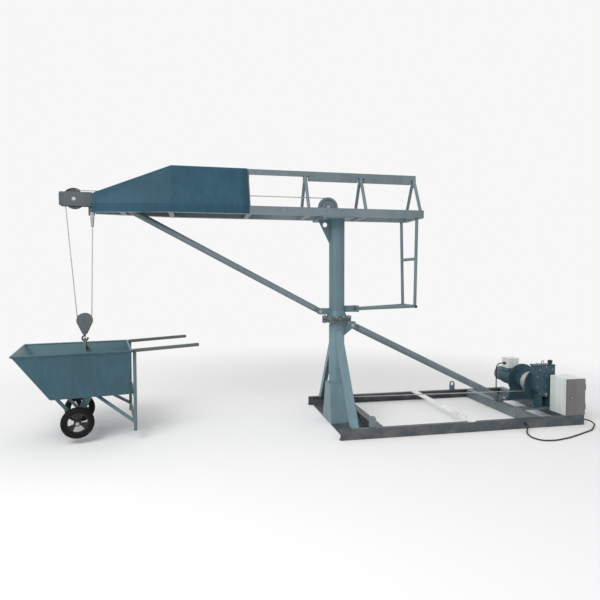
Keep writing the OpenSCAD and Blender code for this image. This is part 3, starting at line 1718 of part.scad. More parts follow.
left_rail();
right_rail();
front_beam();
middle_cross_bar();
winch_bed();
lifting_lugs();
column_foot();
lower_column();
slew_bushes();
side_braces();
back_stay();
base_pins();
base_bolts();
gear_case();
gear_case_cover();
drum_stand();
motor_body();
fan_cowl();
terminal_box();
cabinet_body();
cabinet_fittings();
cable_glands();
supply_cable();
winch_rope();
rope_drum();
drum_gear();
layshaft();
motor_shaft();
foot_sheave();
upper_column();
bottom_chords();
top_chord();
boom_lattice();
boom_cover();
head_cheeks();
boom_pins();
boom_strut();
tail_frame();
boom_rope();
front_fall();
rear_fall();
rope_anchor();
head_sheave();
top_sheave();
block_cheeks();
block_sheave();
block_rope();
lifting_hook();
bail();
tray();
barrow_frame();
handles();
left_tyre();
left_hub();
right_tyre();
right_hub();
cabinet_door();
door_latch();
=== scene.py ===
"""Material hoist: rail base, electric drum winch, slewing lattice boom, rope, hook block and barrow."""
import math

import bpy
from mathutils import Matrix, Vector


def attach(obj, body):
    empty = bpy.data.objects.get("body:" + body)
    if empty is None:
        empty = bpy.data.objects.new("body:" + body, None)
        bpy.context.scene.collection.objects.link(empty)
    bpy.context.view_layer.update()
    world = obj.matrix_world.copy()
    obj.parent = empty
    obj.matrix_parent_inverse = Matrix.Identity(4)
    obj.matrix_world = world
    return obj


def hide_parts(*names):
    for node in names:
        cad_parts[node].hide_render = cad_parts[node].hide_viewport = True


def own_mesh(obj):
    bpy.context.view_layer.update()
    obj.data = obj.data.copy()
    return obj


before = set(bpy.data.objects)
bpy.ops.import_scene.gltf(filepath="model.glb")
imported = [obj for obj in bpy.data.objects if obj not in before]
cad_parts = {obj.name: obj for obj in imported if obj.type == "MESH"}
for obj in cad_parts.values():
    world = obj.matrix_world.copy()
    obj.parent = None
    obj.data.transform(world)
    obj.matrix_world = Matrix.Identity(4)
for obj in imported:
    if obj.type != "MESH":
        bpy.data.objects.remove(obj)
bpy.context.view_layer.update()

# Camera. Eye height, low angle and lens follow the photograph of the whole hoist.
# It stands in front of the left rail and looks a little towards the winch.
camera_data = bpy.data.cameras.new("photo_camera")
camera_data.lens = 30.01
camera_data.sensor_width = 36.0
camera_data.clip_end = 200.0
camera = bpy.data.objects.new("photo_camera", camera_data)
camera.location = (-1.475, -5.270, 1.542)
camera.rotation_euler = (math.radians(87.65), math.radians(0.06), math.radians(-11.44))
bpy.context.scene.collection.objects.link(camera)
bpy.context.scene.camera = camera
bpy.context.scene.view_settings.view_transform = "Standard"


# Supply cable. Dark rubber mains cable of 14 mm that leaves the near rail's open end, loops on the ground
# beside the base, goes in through a grommet in the rail and climbs to the motor's terminal box.
class Wire:
    """A value in a finish: arithmetic on it adds Math nodes."""

    def __init__(self, finish, socket):
        self.finish = finish
        self.socket = socket

    def math(self, operation, *others):
        """A Math node that takes this value first."""
        return self.finish.math(operation, self, *others)

    def __add__(self, other):
        return self.math("ADD", other)

    def __sub__(self, other):
        return self.math("SUBTRACT", other)

    def __rsub__(self, other):
        return self.finish.math("SUBTRACT", other, self)

    def __mul__(self, other):
        return self.math("MULTIPLY", other)

    __radd__, __rmul__ = __add__, __mul__

    def ramp(self, low, high):
        """0 below low, 1 above high, smooth between them."""
        settings = {"interpolation_type": "SMOOTHSTEP"}
        return self.finish.node("ShaderNodeMapRange", settings, {0: self, 1: low, 2: high, 3: 0.0, 4: 1.0})[0]


class Finish:
    """One procedural material on the Principled shader, read in the object's own coordinates."""

    def __init__(self, name, **even):
        self.material = bpy.data.materials.new(name)
        self.material.use_nodes = True
        self.tree = self.material.node_tree
        self.shader = self.tree.nodes["Principled BSDF"]
        for socket, value in even.items():
            self.shader.inputs[socket.replace("_", " ")].default_value = value
        where = self.node("ShaderNodeTexCoord", {}, {})
        self.place = where[3]
        self.uv = where[2]

    def node(self, kind, settings, inputs):
        made = self.tree.nodes.new(kind)
        for key, value in settings.items():
            setattr(made, key, value)
        for key, value in inputs.items():
            if isinstance(value, Wire):
                self.tree.links.new(value.socket, made.inputs[key])
            else:
                made.inputs[key].default_value = value
        return [Wire(self, socket) for socket in made.outputs]

    def math(self, operation, *values):
        return self.node("ShaderNodeMath", {"operation": operation}, dict(enumerate(values)))[0]

    def noise(self, scale, detail, stretch=None):
        place = self.place
        if stretch:
            place = self.node("ShaderNodeMapping", {}, {"Vector": place, "Scale": stretch})[0]
        return self.node("ShaderNodeTexNoise", {}, {"Vector": place, "Scale": scale, "Detail": detail})[0]

    def mix(self, share, low, high):
        """One colour where the share is 0, the other where it is 1."""
        made = self.tree.nodes.new("ShaderNodeMix")
        made.data_type = "RGBA"
        for socket, value in ((made.inputs[0], share), (made.inputs[6], low), (made.inputs[7], high)):
            if isinstance(value, Wire):
                self.tree.links.new(value.socket, socket)
            else:
                socket.default_value = value if isinstance(value, float) else (*value, 1.0)
        return Wire(self, made.outputs[2])

    def split(self, vector):
        return self.node("ShaderNodeSeparateXYZ", {}, {0: vector})

    def set(self, **wires):
        """Wires led to the shader's inputs of these names."""
        for socket, value in wires.items():
            self.tree.links.new(value.socket, self.shader.inputs[socket.replace("_", " ")])

    def bump(self, height, strength, distance, normal=None):
        inputs = {"Height": height, "Strength": strength, "Distance": distance}
        if normal:
            inputs["Normal"] = normal
        self.set(Normal=self.node("ShaderNodeBump", {}, inputs)[0])
        return self.material


def black_rubber(name, colour, dust, settle=0.35, gloss=0.35):
    """Matt rubber with a little pale dust lying in it."""
    finish = Finish(name, Specular_IOR_Level=gloss)
    fine = finish.noise(420.0, 3.0)
    patches = finish.noise(14.0, 4.0)
    settled = patches.ramp(0.5, 0.78) * settle
    finish.set(Base_Color=finish.mix(settled, colour, dust), Roughness=0.55 + fine * 0.2 + settled * 0.3)
    return finish.bump(fine, 0.25, 0.0004)


def rounded_line(points, radii):
    """A line whose corners are rounded to these radii, as a list of vectors."""
    line = [points[0]]
    for i in range(1, len(points) - 1):
        u = (points[i - 1] - points[i]).normalized()
        v = (points[i + 1] - points[i]).normalized()
        half = math.acos(u.dot(v)) / 2
        turn = math.pi - 2 * half
        centre = points[i] + (u + v).normalized() * (radii[i] / math.sin(half))
        a = points[i] + u * (radii[i] / math.tan(half)) - centre
        b = points[i] + v * (radii[i] / math.tan(half)) - centre
        steps = math.ceil(turn / math.radians(6))
        for k in range(steps + 1):
            share = turn * k / steps
            line.append(centre + (math.sin(turn - share) * a + math.sin(share) * b) / math.sin(turn))
    return line + [points[-1]]


CABLE_D = 0.014
CABLE_ROUTE = [
    (2.4903, -0.693, 0.050), (2.583, -0.693, 0.050), (2.583, -0.801, 0.025), (2.440, -0.920, 0.007),
    (2.188, -1.030, 0.007), (2.033, -1.092, 0.007), (1.860, -1.135, 0.007), (1.715, -1.120, 0.007),
    (1.680, -1.000, 0.007), (1.735, -0.860, 0.007), (1.820, -0.770, 0.050), (1.820, -0.625, 0.050),
    (2.090, -0.625, 0.050), (2.090, -0.430, 0.007), (2.090, 0.221, 0.007), (2.090, 0.221, 0.514),
    (2.1857, 0.221, 0.514)]
BEND_SHARES = (0, 4.5, 4.5, 14, 20, 20, 20, 6.4, 11, 11, 5.7, 4.7, 4.6, 11, 5.7, 4.5, 0)
cable_line = rounded_line([Vector(p) for p in CABLE_ROUTE], [CABLE_D * share for share in BEND_SHARES])
cable_curve = bpy.data.curves.new("supply_cable_run", "CURVE")
cable_curve.dimensions = "3D"
cable_curve.bevel_depth = CABLE_D / 2
cable_curve.bevel_resolution = 4
cable_curve.use_fill_caps = True
spline = cable_curve.splines.new("POLY")
spline.points.add(len(cable_line) - 1)
for point, place in zip(spline.points, cable_line):
    point.co = (*place, 1.0)
supply_cable = bpy.data.objects.new("supply_cable_run", cable_curve)
bpy.context.scene.collection.objects.link(supply_cable)
rubber = black_rubber("dark_cable_rubber", (0.036, 0.036, 0.037), (0.13, 0.125, 0.12))
cable_curve.materials.append(rubber)
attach(supply_cable, "base")
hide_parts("supply_cable")
cable_length = sum((b - a).length for a, b in zip(cable_line, cable_line[1:]))


# Hoist rope. Galvanised wire rope of 10 mm, six strands laid round a core: fifteen turns on the drum,
# along to the foot sheave, up the hollow column, over the boom and down round the hook block.
ROPE_R = 0.005
STRANDS = 6
ROPE_LAY = 0.066
ROPE_SIDES = 18
GROOVE = 0.14
WIRES_ROUND, WIRES_ALONG = 228.0, 2400.0


def wire_rope():
    """Dull zinc with the fine wires of each strand, and old grease in the grooves."""
    finish = Finish("galvanised_wire_rope", Metallic=0.75)
    around, along, _ = finish.split(finish.uv)
    wires = (around * WIRES_ROUND + along * WIRES_ALONG).math("SINE")
    grease = finish.noise(60.0, 3.0).ramp(0.42, 0.72)
    colour = finish.mix(grease * 0.5, (0.47, 0.48, 0.48), (0.2, 0.19, 0.175))
    finish.set(Base_Color=colour, Roughness=0.42 + grease * 0.22)
    return finish.bump(wires, 0.35, 0.0005)


def rope_mesh(name, points, step=0.006):
    """A tube with six twisted strands along the points."""
    line = []
    for a, b in zip(points, points[1:]):
        count = max(1, round((b - a).length / step))
        line += [a.lerp(b, i / count) for i in range(count)]
    line.append(points[-1])
    rings = len(line)
    tangents = [(line[min(i + 1, rings - 1)] - line[max(i - 1, 0)]).normalized() for i in range(rings)]
    normal = Vector((0, 1, 0))
    corners, faces, along, gone = [], [], [], 0.0
    for i, (place, tangent) in enumerate(zip(line, tangents)):
        gone += (place - line[i - 1]).length if i else 0.0
        normal = (normal - tangent * normal.dot(tangent)).normalized()
        side = tangent.cross(normal)
        for k in range(ROPE_SIDES):
            turn = 2 * math.pi * k / ROPE_SIDES
            lobe = abs(math.cos(STRANDS / 2 * (turn - 2 * math.pi * gone / ROPE_LAY)))
            r = ROPE_R * (1 - GROOVE + GROOVE * lobe)
            corners.append(place + r * (math.cos(turn) * normal + math.sin(turn) * side))
        along.append(gone)
    for i in range(rings - 1):
        for k in range(ROPE_SIDES):
            a, b = i * ROPE_SIDES + k, i * ROPE_SIDES + (k + 1) % ROPE_SIDES
            faces.append((a, b, b + ROPE_SIDES, a + ROPE_SIDES))
    faces.append(tuple(reversed(range(ROPE_SIDES))))
    faces.append(tuple(range((rings - 1) * ROPE_SIDES, rings * ROPE_SIDES)))
    mesh = bpy.data.meshes.new(name)
    mesh.from_pydata(corners, [], faces)
    uv = mesh.uv_layers.new(name="lay")
    for i in range(rings - 1):
        for k in range(ROPE_SIDES):
            first = mesh.polygons[i * ROPE_SIDES + k].loop_start
            for j, (dk, di) in enumerate(((0, 0), (1, 0), (1, 1), (0, 1))):
                uv.data[first + j].uv = ((k + dk) / ROPE_SIDES, along[i + di])
    for polygon in mesh.polygons:
        polygon.use_smooth = True
    piece = bpy.data.objects.new(name, mesh)
    bpy.context.scene.collection.objects.link(piece)
    piece.data.materials.append(rope_finish)
    return piece


def on_sheave(centre, r, angle):
    """A point on a sheave in the plane of the boom, angle in degrees."""
    turned = math.radians(angle)
    return Vector((centre[0] + r * math.cos(turned), 0, centre[1] + r * math.sin(turned)))


def arc(centre, r, start, end, steps):
    """Points along a sheave from one angle to another."""
    return [on_sheave(centre, r, start + (end - start) * i / steps) for i in range(steps + 1)]


rope_finish = wire_rope()
WINCH_X, WINCH_Z, DRUM_R = 2.28, 0.355, 0.110
FOOT_R, HEAD_R, TOP_R, BLOCK_R = 0.070, 0.088, 0.100, 0.066
DRUM_TURNS, ROPE_PITCH, DRUM_START, ROPE_TAIL = 15, 0.0106, -0.292, 0.01
TURN_STEPS, SHEAVE_STEPS, BLOCK_STEPS = 48, 16, 32
foot_z = WINCH_Z - DRUM_R + FOOT_R
head_c = (-2.659, 2.329)
block_c = (-2.586, 1.140)
top_c = (-TOP_R, head_c[1] + HEAD_R - TOP_R)
anchor_p = Vector((-2.4975, 0, 2.062))
SEAT = 0.0003
lead_y = DRUM_START + DRUM_TURNS * ROPE_PITCH
fleet = math.atan2(lead_y, WINCH_X)
drum_points = [Vector((WINCH_X + ROPE_TAIL, DRUM_START, WINCH_Z - DRUM_R))]
for i in range(DRUM_TURNS * TURN_STEPS + 1):
    turned = math.radians(-90 - 360 * i / TURN_STEPS)
    drum_points.append(Vector((WINCH_X + DRUM_R * math.cos(turned), DRUM_START + i / TURN_STEPS * ROPE_PITCH,
                               WINCH_Z + DRUM_R * math.sin(turned))))
for i in range(SHEAVE_STEPS + 1):
    turned = math.radians(-90 - 90 * i / SHEAVE_STEPS)
    out = FOOT_R + FOOT_R * math.cos(turned)
    drum_points.append(Vector((out * math.cos(fleet), out * math.sin(fleet),
                               foot_z + FOOT_R * math.sin(turned))))
drum_points.append(Vector((0, 0, top_c[1] - 2 * ROPE_R - SEAT)))
winch_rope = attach(rope_mesh("winch_rope_laid", drum_points), "base")
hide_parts("winch_rope")

across = Vector((block_c[0] - head_c[0], block_c[1] - head_c[1]))
fall_a = math.degrees(math.atan2(across.y, across.x) - math.acos((HEAD_R - BLOCK_R) / across.length))
front_top = on_sheave(head_c, HEAD_R, fall_a)
front_low = on_sheave(block_c, BLOCK_R, fall_a)
front_u = (front_top - front_low).normalized()
back = Vector((anchor_p.x - block_c[0], anchor_p.z - block_c[1]))
rear_a = math.degrees(math.atan2(back.y, back.x) - math.acos(BLOCK_R / back.length))
rear_low = on_sheave(block_c, BLOCK_R, rear_a)
rear_u = (anchor_p - rear_low).normalized()
boom_points = [Vector((0, 0, top_c[1] - 2 * ROPE_R))] + arc(top_c, TOP_R, 0, 90, SHEAVE_STEPS)
boom_points += arc(head_c, HEAD_R, 90, 360 + fall_a, SHEAVE_STEPS) + [front_top - 2 * ROPE_R * front_u]
boom_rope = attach(rope_mesh("boom_rope_laid", boom_points), "boom")
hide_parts("boom_rope")
block_points = [front_low + 2 * ROPE_R * front_u]
block_points += arc(block_c, BLOCK_R, 360 + fall_a, 360 + rear_a, BLOCK_STEPS)
block_points.append(rear_low + 2 * ROPE_R * rear_u)
block_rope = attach(rope_mesh("block_rope_laid", block_points), "hook_block")
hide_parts("block_rope")
falls = (("front_fall", front_top - (2 * ROPE_R + SEAT) * front_u, front_low + (2 * ROPE_R + SEAT) * front_u),
         ("rear_fall", anchor_p - SEAT * rear_u, rear_low + (2 * ROPE_R + SEAT) * rear_u))
for name, high, low in falls:
    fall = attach(rope_mesh(name + "_laid", [high, low]), "boom")
    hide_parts(name)
    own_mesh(fall)


# Base frame. Two channel rails in dark grey paint joined by box beams, with a light flat bar between,
# lifting plates on the rails and the winch bed in the hoist's blue-grey paint.
def painted_steel(name, colour, wear=0.5, ground=False, shade=None, gloss=0.45):
    """Brushed-on machinery paint over steel: uneven gloss, faint streaks, worn corners, site dust low down.

    shade, if given, takes the finish and the paint and returns the paint with wear or a darker band laid over
    it.
    """
    finish = Finish(name, Specular_IOR_Level=gloss)
    rounded = finish.node("ShaderNodeBevel", {"samples": 4}, {"Radius": 0.0022})[0]
    facet = finish.node("ShaderNodeNewGeometry", {}, {})[3]
    turned = finish.node("ShaderNodeVectorMath", {"operation": "DOT_PRODUCT"}, {0: rounded, 1: facet})[1]
    patches = finish.noise(2.6, 4.0)
    streaks = finish.noise(30.0, 3.0, stretch=(1.0, 1.0, 0.06))
    peel = finish.noise(340.0, 2.0)
    specks = finish.noise(75.0, 3.0)
    edges = (1.0 - turned).ramp(0.05, 0.16) * finish.noise(38.0, 4.0).ramp(0.42, 0.62)
    chips = specks.ramp(0.735, 0.75) * patches.ramp(0.5, 0.62)
    worn = (edges + chips).math("MINIMUM", 1.0) * wear
    light = tuple(min(1.0, c * 1.14 + 0.004) for c in colour)
    dark = tuple(c * 0.84 for c in colour)
    paint = finish.mix((patches * 0.7 + streaks * 0.45 - 0.1).ramp(0.25, 0.75), dark, light)
    if ground:
        height = finish.split(finish.place)[2]
        dust = (1.0 - height.ramp(0.0, 0.24)) * finish.noise(9.0, 5.0).ramp(0.38, 0.72) * 0.3
        paint = finish.mix(dust, paint, (0.28, 0.26, 0.23))
    if shade:
        paint = shade(finish, paint)
    bare = finish.mix(finish.noise(120.0, 2.0).ramp(0.4, 0.6), (0.16, 0.155, 0.15), (0.13, 0.085, 0.055))
    finish.set(Base_Color=finish.mix(worn, paint, bare), Roughness=0.36 + streaks * 0.16 + worn * 0.25)
    return finish.bump(peel * 0.6 + streaks * 0.6 - worn * 1.2, 0.22, 0.0006, rounded)


FRAME_GREY = (0.138, 0.182, 0.203)
frame_paint = painted_steel("grey_frame_paint", FRAME_GREY)
bed_paint = painted_steel("grey_frame_paint_dusty", FRAME_GREY, ground=True)
rail_paint = painted_steel("dark_grey_rail_paint", (0.057, 0.071, 0.081), wear=0.7, ground=True)
bar_paint = painted_steel("white_bar_paint", (0.86, 0.90, 0.88), wear=0.2, ground=True)


def finish_nodes(material, *names):
    """The CAD solids that keep their shape take this finish."""
    for name in names:
        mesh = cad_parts[name].data
        mesh.materials.clear()
        mesh.materials.append(material)


finish_nodes(rail_paint, "left_rail", "right_rail", "front_beam")
finish_nodes(bed_paint, "winch_bed", "lifting_lugs", "back_stay")
finish_nodes(bar_paint, "middle_cross_bar")


# Column. Welded tube with bolted slewing flanges, bronze bushes inside and a ring of hexagon bolts
# round each flange. Weld seams run round the tube where it meets the foot and the boom's plate.
SLEW_MIDDLE = 1.108


def machined_steel(name, colour, rust=0.25):
    """Turned or drawn steel without paint: fine marks, dull patches and a trace of rust."""
    finish = Finish(name, Metallic=0.9)
    marks = finish.noise(160.0, 2.0, stretch=(1.0, 1.0, 8.0))
    dull = finish.noise(16.0, 4.0).ramp(0.4, 0.75)
    spots = finish.noise(48.0, 4.0).ramp(0.6, 0.78) * rust
    metal = finish.mix(dull * 0.6, colour, tuple(c * 0.6 for c in colour))
    finish.set(Base_Color=finish.mix(spots, metal, (0.13, 0.06, 0.03)),
               Roughness=0.3 + marks * 0.14 + dull * 0.16 + spots * 0.3)
    return finish.bump(marks, 0.12, 0.0004)


def darker_slew_band(finish, paint):
    """A darker band, in patches, round the flanges of the slewing joint."""
    height = finish.split(finish.place)[2]
    near = (height - SLEW_MIDDLE).math("ABSOLUTE")
    darkened = (1.0 - near.ramp(0.02, 0.05)) * finish.noise(22.0, 4.0).ramp(0.25, 0.55) * 0.75
    return finish.mix(darkened, paint, (0.03, 0.03, 0.028))


column_paint = painted_steel("blue_grey_column_paint", (0.102, 0.170, 0.202), shade=darker_slew_band)
foot_paint = painted_steel("pale_blue_foot_paint", (0.145, 0.235, 0.275), ground=True, shade=darker_slew_band)
finish_nodes(column_paint, "upper_column")
finish_nodes(foot_paint, "lower_column", "column_foot", "side_braces")
steel = machined_steel("bright_steel", (0.40, 0.41, 0.41))
bronze = machined_steel("bearing_bronze", (0.43, 0.27, 0.10), 0.1)
finish_nodes(bronze, "slew_bushes")
finish_nodes(steel, "base_pins", "base_bolts")


def select_none():
    for piece in bpy.context.selected_objects:
        piece.select_set(False)


def placed():
    """The primitive just added, its place and turn moved into its mesh."""
    bpy.ops.object.transform_apply()
    return bpy.context.object


def edit_faces(piece, chosen):
    """Edit mode with only those faces selected that the test picks, by centre and normal."""
    bpy.ops.object.mode_set(mode="OBJECT")
    mesh = piece.data
    for group in (mesh.vertices, mesh.edges, mesh.polygons):
        group.foreach_set("select", [False] * len(group))
    for polygon in mesh.polygons:
        polygon.select = bool(chosen(polygon.center, polygon.normal))
    bpy.ops.object.mode_set(mode="EDIT")
    bpy.ops.mesh.select_mode(type="FACE")


def on_top(centre, normal):
    return normal.z > 0.9


def merged(main):
    """The primitive just shaped, joined into the main one."""
    main.select_set(True)
    bpy.context.view_layer.objects.active = main
    bpy.ops.object.join()
    return main


def hexagon_bolt(across, height, washer):
    """A bolt head on its washer, standing on z 0: a six-sided prism with chamfered top and a washer below."""
    select_none()
    bpy.ops.mesh.primitive_cylinder_add(vertices=6, radius=across / math.sqrt(3), depth=height,
                                        location=(0, 0, washer + height / 2))
    bolt = placed()
    edit_faces(bolt, on_top)
    bpy.ops.mesh.inset(thickness=across * 0.06)
    bpy.ops.transform.translate(value=(0, 0, height * 0.1))
    bpy.ops.object.mode_set(mode="OBJECT")
    bpy.ops.mesh.primitive_cylinder_add(vertices=20, radius=across * 0.72, depth=washer,
                                        location=(0, 0, washer / 2))
    ring = placed()
    edit_faces(ring, on_top)
    bpy.ops.mesh.inset(thickness=washer * 0.4)
    bpy.ops.transform.translate(value=(0, 0, washer * 0.2))
    bpy.ops.object.mode_set(mode="OBJECT")
    return merged(bolt)


def at(x, y, z):
    return Matrix.Translation((x, y, z))


def spread(pattern, places, name, body, material):
    """Copies of a finished piece at these places, joined into one piece, and the pattern removed."""
    copies = []
    for place in places:
        copy = pattern.copy()
        copy.data = pattern.data.copy()
        copy.data.transform(place)
        bpy.context.scene.collection.objects.link(copy)
        copies.append(copy)
    bpy.data.objects.remove(pattern)
    return joined(copies, name, body, material)


def joined(parts, name, body, material):
    """Several meshes made one piece that rides on a body."""
    select_none()
    for part in parts:
        part.select_set(True)
    bpy.context.view_layer.objects.active = parts[0]
    if len(parts) > 1:
        bpy.ops.object.join()
    piece = bpy.context.view_layer.objects.active
    piece.name = name
    piece.data.name = name
    bpy.ops.object.transform_apply(location=True, rotation=True, scale=True)
    piece.data.materials.clear()
    piece.data.materials.append(material)
    bpy.ops.object.shade_smooth_by_angle(angle=math.radians(35))
    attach(piece, body)
    return piece


def weld_ring(r, z, size):
    """A fillet weld round a tube: a ring whose surface is rippled like laid-down metal."""
    select_none()
    bpy.ops.mesh.primitive_torus_add(major_radius=r, minor_radius=size, major_segments=160, minor_segments=8,
                                     location=(0, 0, z))
    ring = placed()
    bpy.ops.object.mode_set(mode="EDIT")
    bpy.ops.mesh.select_all(action="SELECT")
    bpy.ops.transform.vertex_random(offset=size * 0.5, seed=round(z * 100))
    bpy.ops.mesh.vertices_smooth(factor=0.35)
    bpy.ops.object.mode_set(mode="OBJECT")
    return ring


SLEW_Z, RING_T, FLANGE_T = 1.105, 0.006, 0.025
FLANGE_TOP = SLEW_Z + RING_T + FLANGE_T
BOLT_RING, BOLTS_ROUND, BRACE_Y = 0.148, 12, 0.137
FLANGE_BOLT, PAD_BOLT = (0.018, 0.010, 0.002), (0.015, 0.008, 0.002)
turns = [2 * math.pi * (i + 0.5) / BOLTS_ROUND for i in range(BOLTS_ROUND)]
on_ring = [(BOLT_RING * math.cos(a), BOLT_RING * math.sin(a)) for a in turns]
upside_down = Matrix.Rotation(math.pi, 4, "X")
upper_places = [at(x, y, FLANGE_TOP) for x, y in on_ring]
lower_places = [at(x, y, SLEW_Z - FLANGE_T) @ upside_down for x, y in on_ring if abs(y) < BRACE_Y]
spread(hexagon_bolt(*FLANGE_BOLT), upper_places, "upper_flange_bolts", "boom", steel)
spread(hexagon_bolt(*FLANGE_BOLT), lower_places, "lower_flange_nuts", "base", steel)
PAD_X, PAD_BOLT_Y, PAD_BOLT_Z, TAIL_Z = 0.213, 0.036, 0.020, 1.221
sideways = Matrix.Rotation(-math.pi / 2, 4, "Y")
pad_places = [at(PAD_X, i * PAD_BOLT_Y, TAIL_Z + j * PAD_BOLT_Z) @ sideways for i in (-1, 1) for j in (-1, 1)]
spread(hexagon_bolt(*PAD_BOLT), pad_places, "tail_pad_nuts", "boom", steel)
COLUMN_R, COLLAR_R, FOOT_H, PLATE_LOW = 0.084, 0.114, 0.416, 2.180
joined([weld_ring(COLUMN_R, FOOT_H, 0.005)], "foot_weld", "base", foot_paint)
joined([weld_ring(COLUMN_R, PLATE_LOW, 0.005), weld_ring(COLLAR_R, FLANGE_TOP, 0.004)],
       "boom_plate_welds", "boom", column_paint)


# Winch. Electric motor, rope drum and gear case in line across the bed, all in the hoist's paint,
# with a pale terminal box and a lifting eye on the motor, and a breather and oil plugs on the gear case.
winch_paint = painted_steel("winch_paint", (0.028, 0.074, 0.099), wear=0.8)
drum_paint = painted_steel("drum_paint", (0.026, 0.070, 0.092), wear=1.0)
motor_paint = painted_steel("motor_paint", (0.048, 0.118, 0.150), wear=0.6)
pale_paint = painted_steel("pale_grey_paint", (0.76, 0.80, 0.77), wear=0.35)
finish_nodes(winch_paint, "gear_case", "gear_case_cover", "drum_stand")
finish_nodes(drum_paint, "rope_drum")
finish_nodes(motor_paint, "motor_body", "fan_cowl")
finish_nodes(pale_paint, "terminal_box")
gear_steel = machined_steel("oiled_gear_steel", (0.28, 0.28, 0.27), 0.05)
finish_nodes(gear_steel, "drum_gear", "layshaft", "motor_shaft")


def moulded_plastic(name, colour):
    """Plastic from a mould: even colour with a fine grain."""
    finish = Finish(name, Specular_IOR_Level=0.5)
    grain = finish.noise(600.0, 2.0)
    tint = finish.mix(finish.noise(7.0, 3.0), tuple(c * 0.9 for c in colour), colour)
    finish.set(Base_Color=tint, Roughness=0.42 + grain * 0.16)
    return finish.bump(grain, 0.1, 0.0003)


def breather():
    """A vented filler cap, standing on z 0: a stem drawn up into a wider ribbed cap with a domed top."""
    select_none()
    bpy.ops.mesh.primitive_cylinder_add(vertices=24, radius=0.016, depth=0.012, location=(0, 0, 0.006))
    cap = placed()
    for widen, rise in ((1.6, 0.0), (1.0, 0.024), (0.86, 0.006), (0.5, 0.004)):
        edit_faces(cap, lambda centre, normal: normal.z > 0.9 and centre.z > 0.01)
        bpy.ops.mesh.extrude_region_move(TRANSFORM_OT_translate={"value": (0, 0, rise)})
        bpy.ops.transform.resize(value=(widen, widen, 1.0), center_override=(0, 0, 0))
    edit_faces(cap, lambda centre, normal: abs(normal.z) < 0.1 and 0.014 < centre.z < 0.04
               and round(math.atan2(centre.y, centre.x) / math.pi * 12 + 23.5) % 2 == 0)
    bpy.ops.mesh.inset(thickness=0.0008, depth=-0.002)
    bpy.ops.object.mode_set(mode="OBJECT")
    return cap


def lifting_eye(r, rod):
    """An eye bolt standing on z 0: a collar with a ring drawn over it."""
    select_none()
    bpy.ops.mesh.primitive_torus_add(major_radius=r, minor_radius=rod, major_segments=36, minor_segments=12,
                                     location=(0, 0, r + rod), rotation=(math.pi / 2, 0, 0))
    eye = placed()
    bpy.ops.object.mode_set(mode="EDIT")
    bpy.ops.mesh.select_all(action="SELECT")
    bpy.ops.transform.resize(value=(0.92, 1.0, 1.08), center_override=(0, 0, 0))
    bpy.ops.object.mode_set(mode="OBJECT")
    bpy.ops.mesh.primitive_cylinder_add(vertices=24, radius=r * 0.75, depth=rod, location=(0, 0, rod / 2))
    collar = placed()
    edit_faces(collar, on_top)
    bpy.ops.mesh.inset(thickness=rod * 0.5)
    bpy.ops.transform.translate(value=(0, 0, rod * 0.4))
    bpy.ops.object.mode_set(mode="OBJECT")
    return merged(eye)


def box_lid(length, width, height, rim=0.016):
    """A shallow lid standing on z 0, its top drawn in to a raised panel."""
    select_none()
    bpy.ops.mesh.primitive_cube_add(size=1.0, location=(0, 0, height / 2), scale=(length, width, height))
    lid = placed()
    edit_faces(lid, on_top)
    bpy.ops.mesh.inset(thickness=height * 0.5)
    bpy.ops.mesh.inset(thickness=rim)
    bpy.ops.mesh.inset(thickness=height * 0.5)
    bpy.ops.transform.translate(value=(0, 0, height * 0.6))
    bpy.ops.object.mode_set(mode="OBJECT")
    return lid


def facing_out(side):
    """The turn that makes a piece standing on z 0 face left for side -1 and right for side 1."""
    return Matrix.Rotation(-side * math.pi / 2, 4, "X")


CASE_TOP, LID_Y, COVER_Y = 0.594, -0.365, -0.427
BREATHER_X, FILLER_X = WINCH_X + 0.094, WINCH_X - 0.07
OIL_PLUGS = ((WINCH_X + 0.062, 0.300), (WINCH_X, 0.272))
black_plastic = moulded_plastic("black_plastic", (0.02, 0.02, 0.021))
spread(breather(), [at(BREATHER_X, LID_Y, CASE_TOP)], "gear_case_breather", "base", black_plastic)
plugs = [at(x, COVER_Y, z) @ facing_out(-1) for x, z in OIL_PLUGS] + [at(FILLER_X, LID_Y, CASE_TOP)]
spread(hexagon_bolt(0.022, 0.011, 0.003), plugs, "gear_case_plugs", "base", steel)
MOTOR_EYE_Y, MOTOR_EYE_Z = 0.082, 0.455
eyes = [at(WINCH_X, MOTOR_EYE_Y, MOTOR_EYE_Z), at(WINCH_X, LID_Y, CASE_TOP)]
spread(lifting_eye(0.016, 0.005), eyes, "winch_lifting_eyes", "base", steel)
BOX_TOP, BOX_Y, BOX_LID_T, LID_SCREW_X, LID_SCREW_Y = 0.569, 0.221, 0.006, 0.063, 0.058
spread(box_lid(0.144, 0.134, BOX_LID_T), [at(WINCH_X, BOX_Y, BOX_TOP)], "terminal_box_lid", "base", pale_paint)
corners = [at(WINCH_X + i * LID_SCREW_X, BOX_Y + j * LID_SCREW_Y, BOX_TOP + BOX_LID_T)
           for i in (-1, 1) for j in (-1, 1)]
spread(hexagon_bolt(0.007, 0.003, 0.001), corners, "terminal_box_screws", "base", steel)
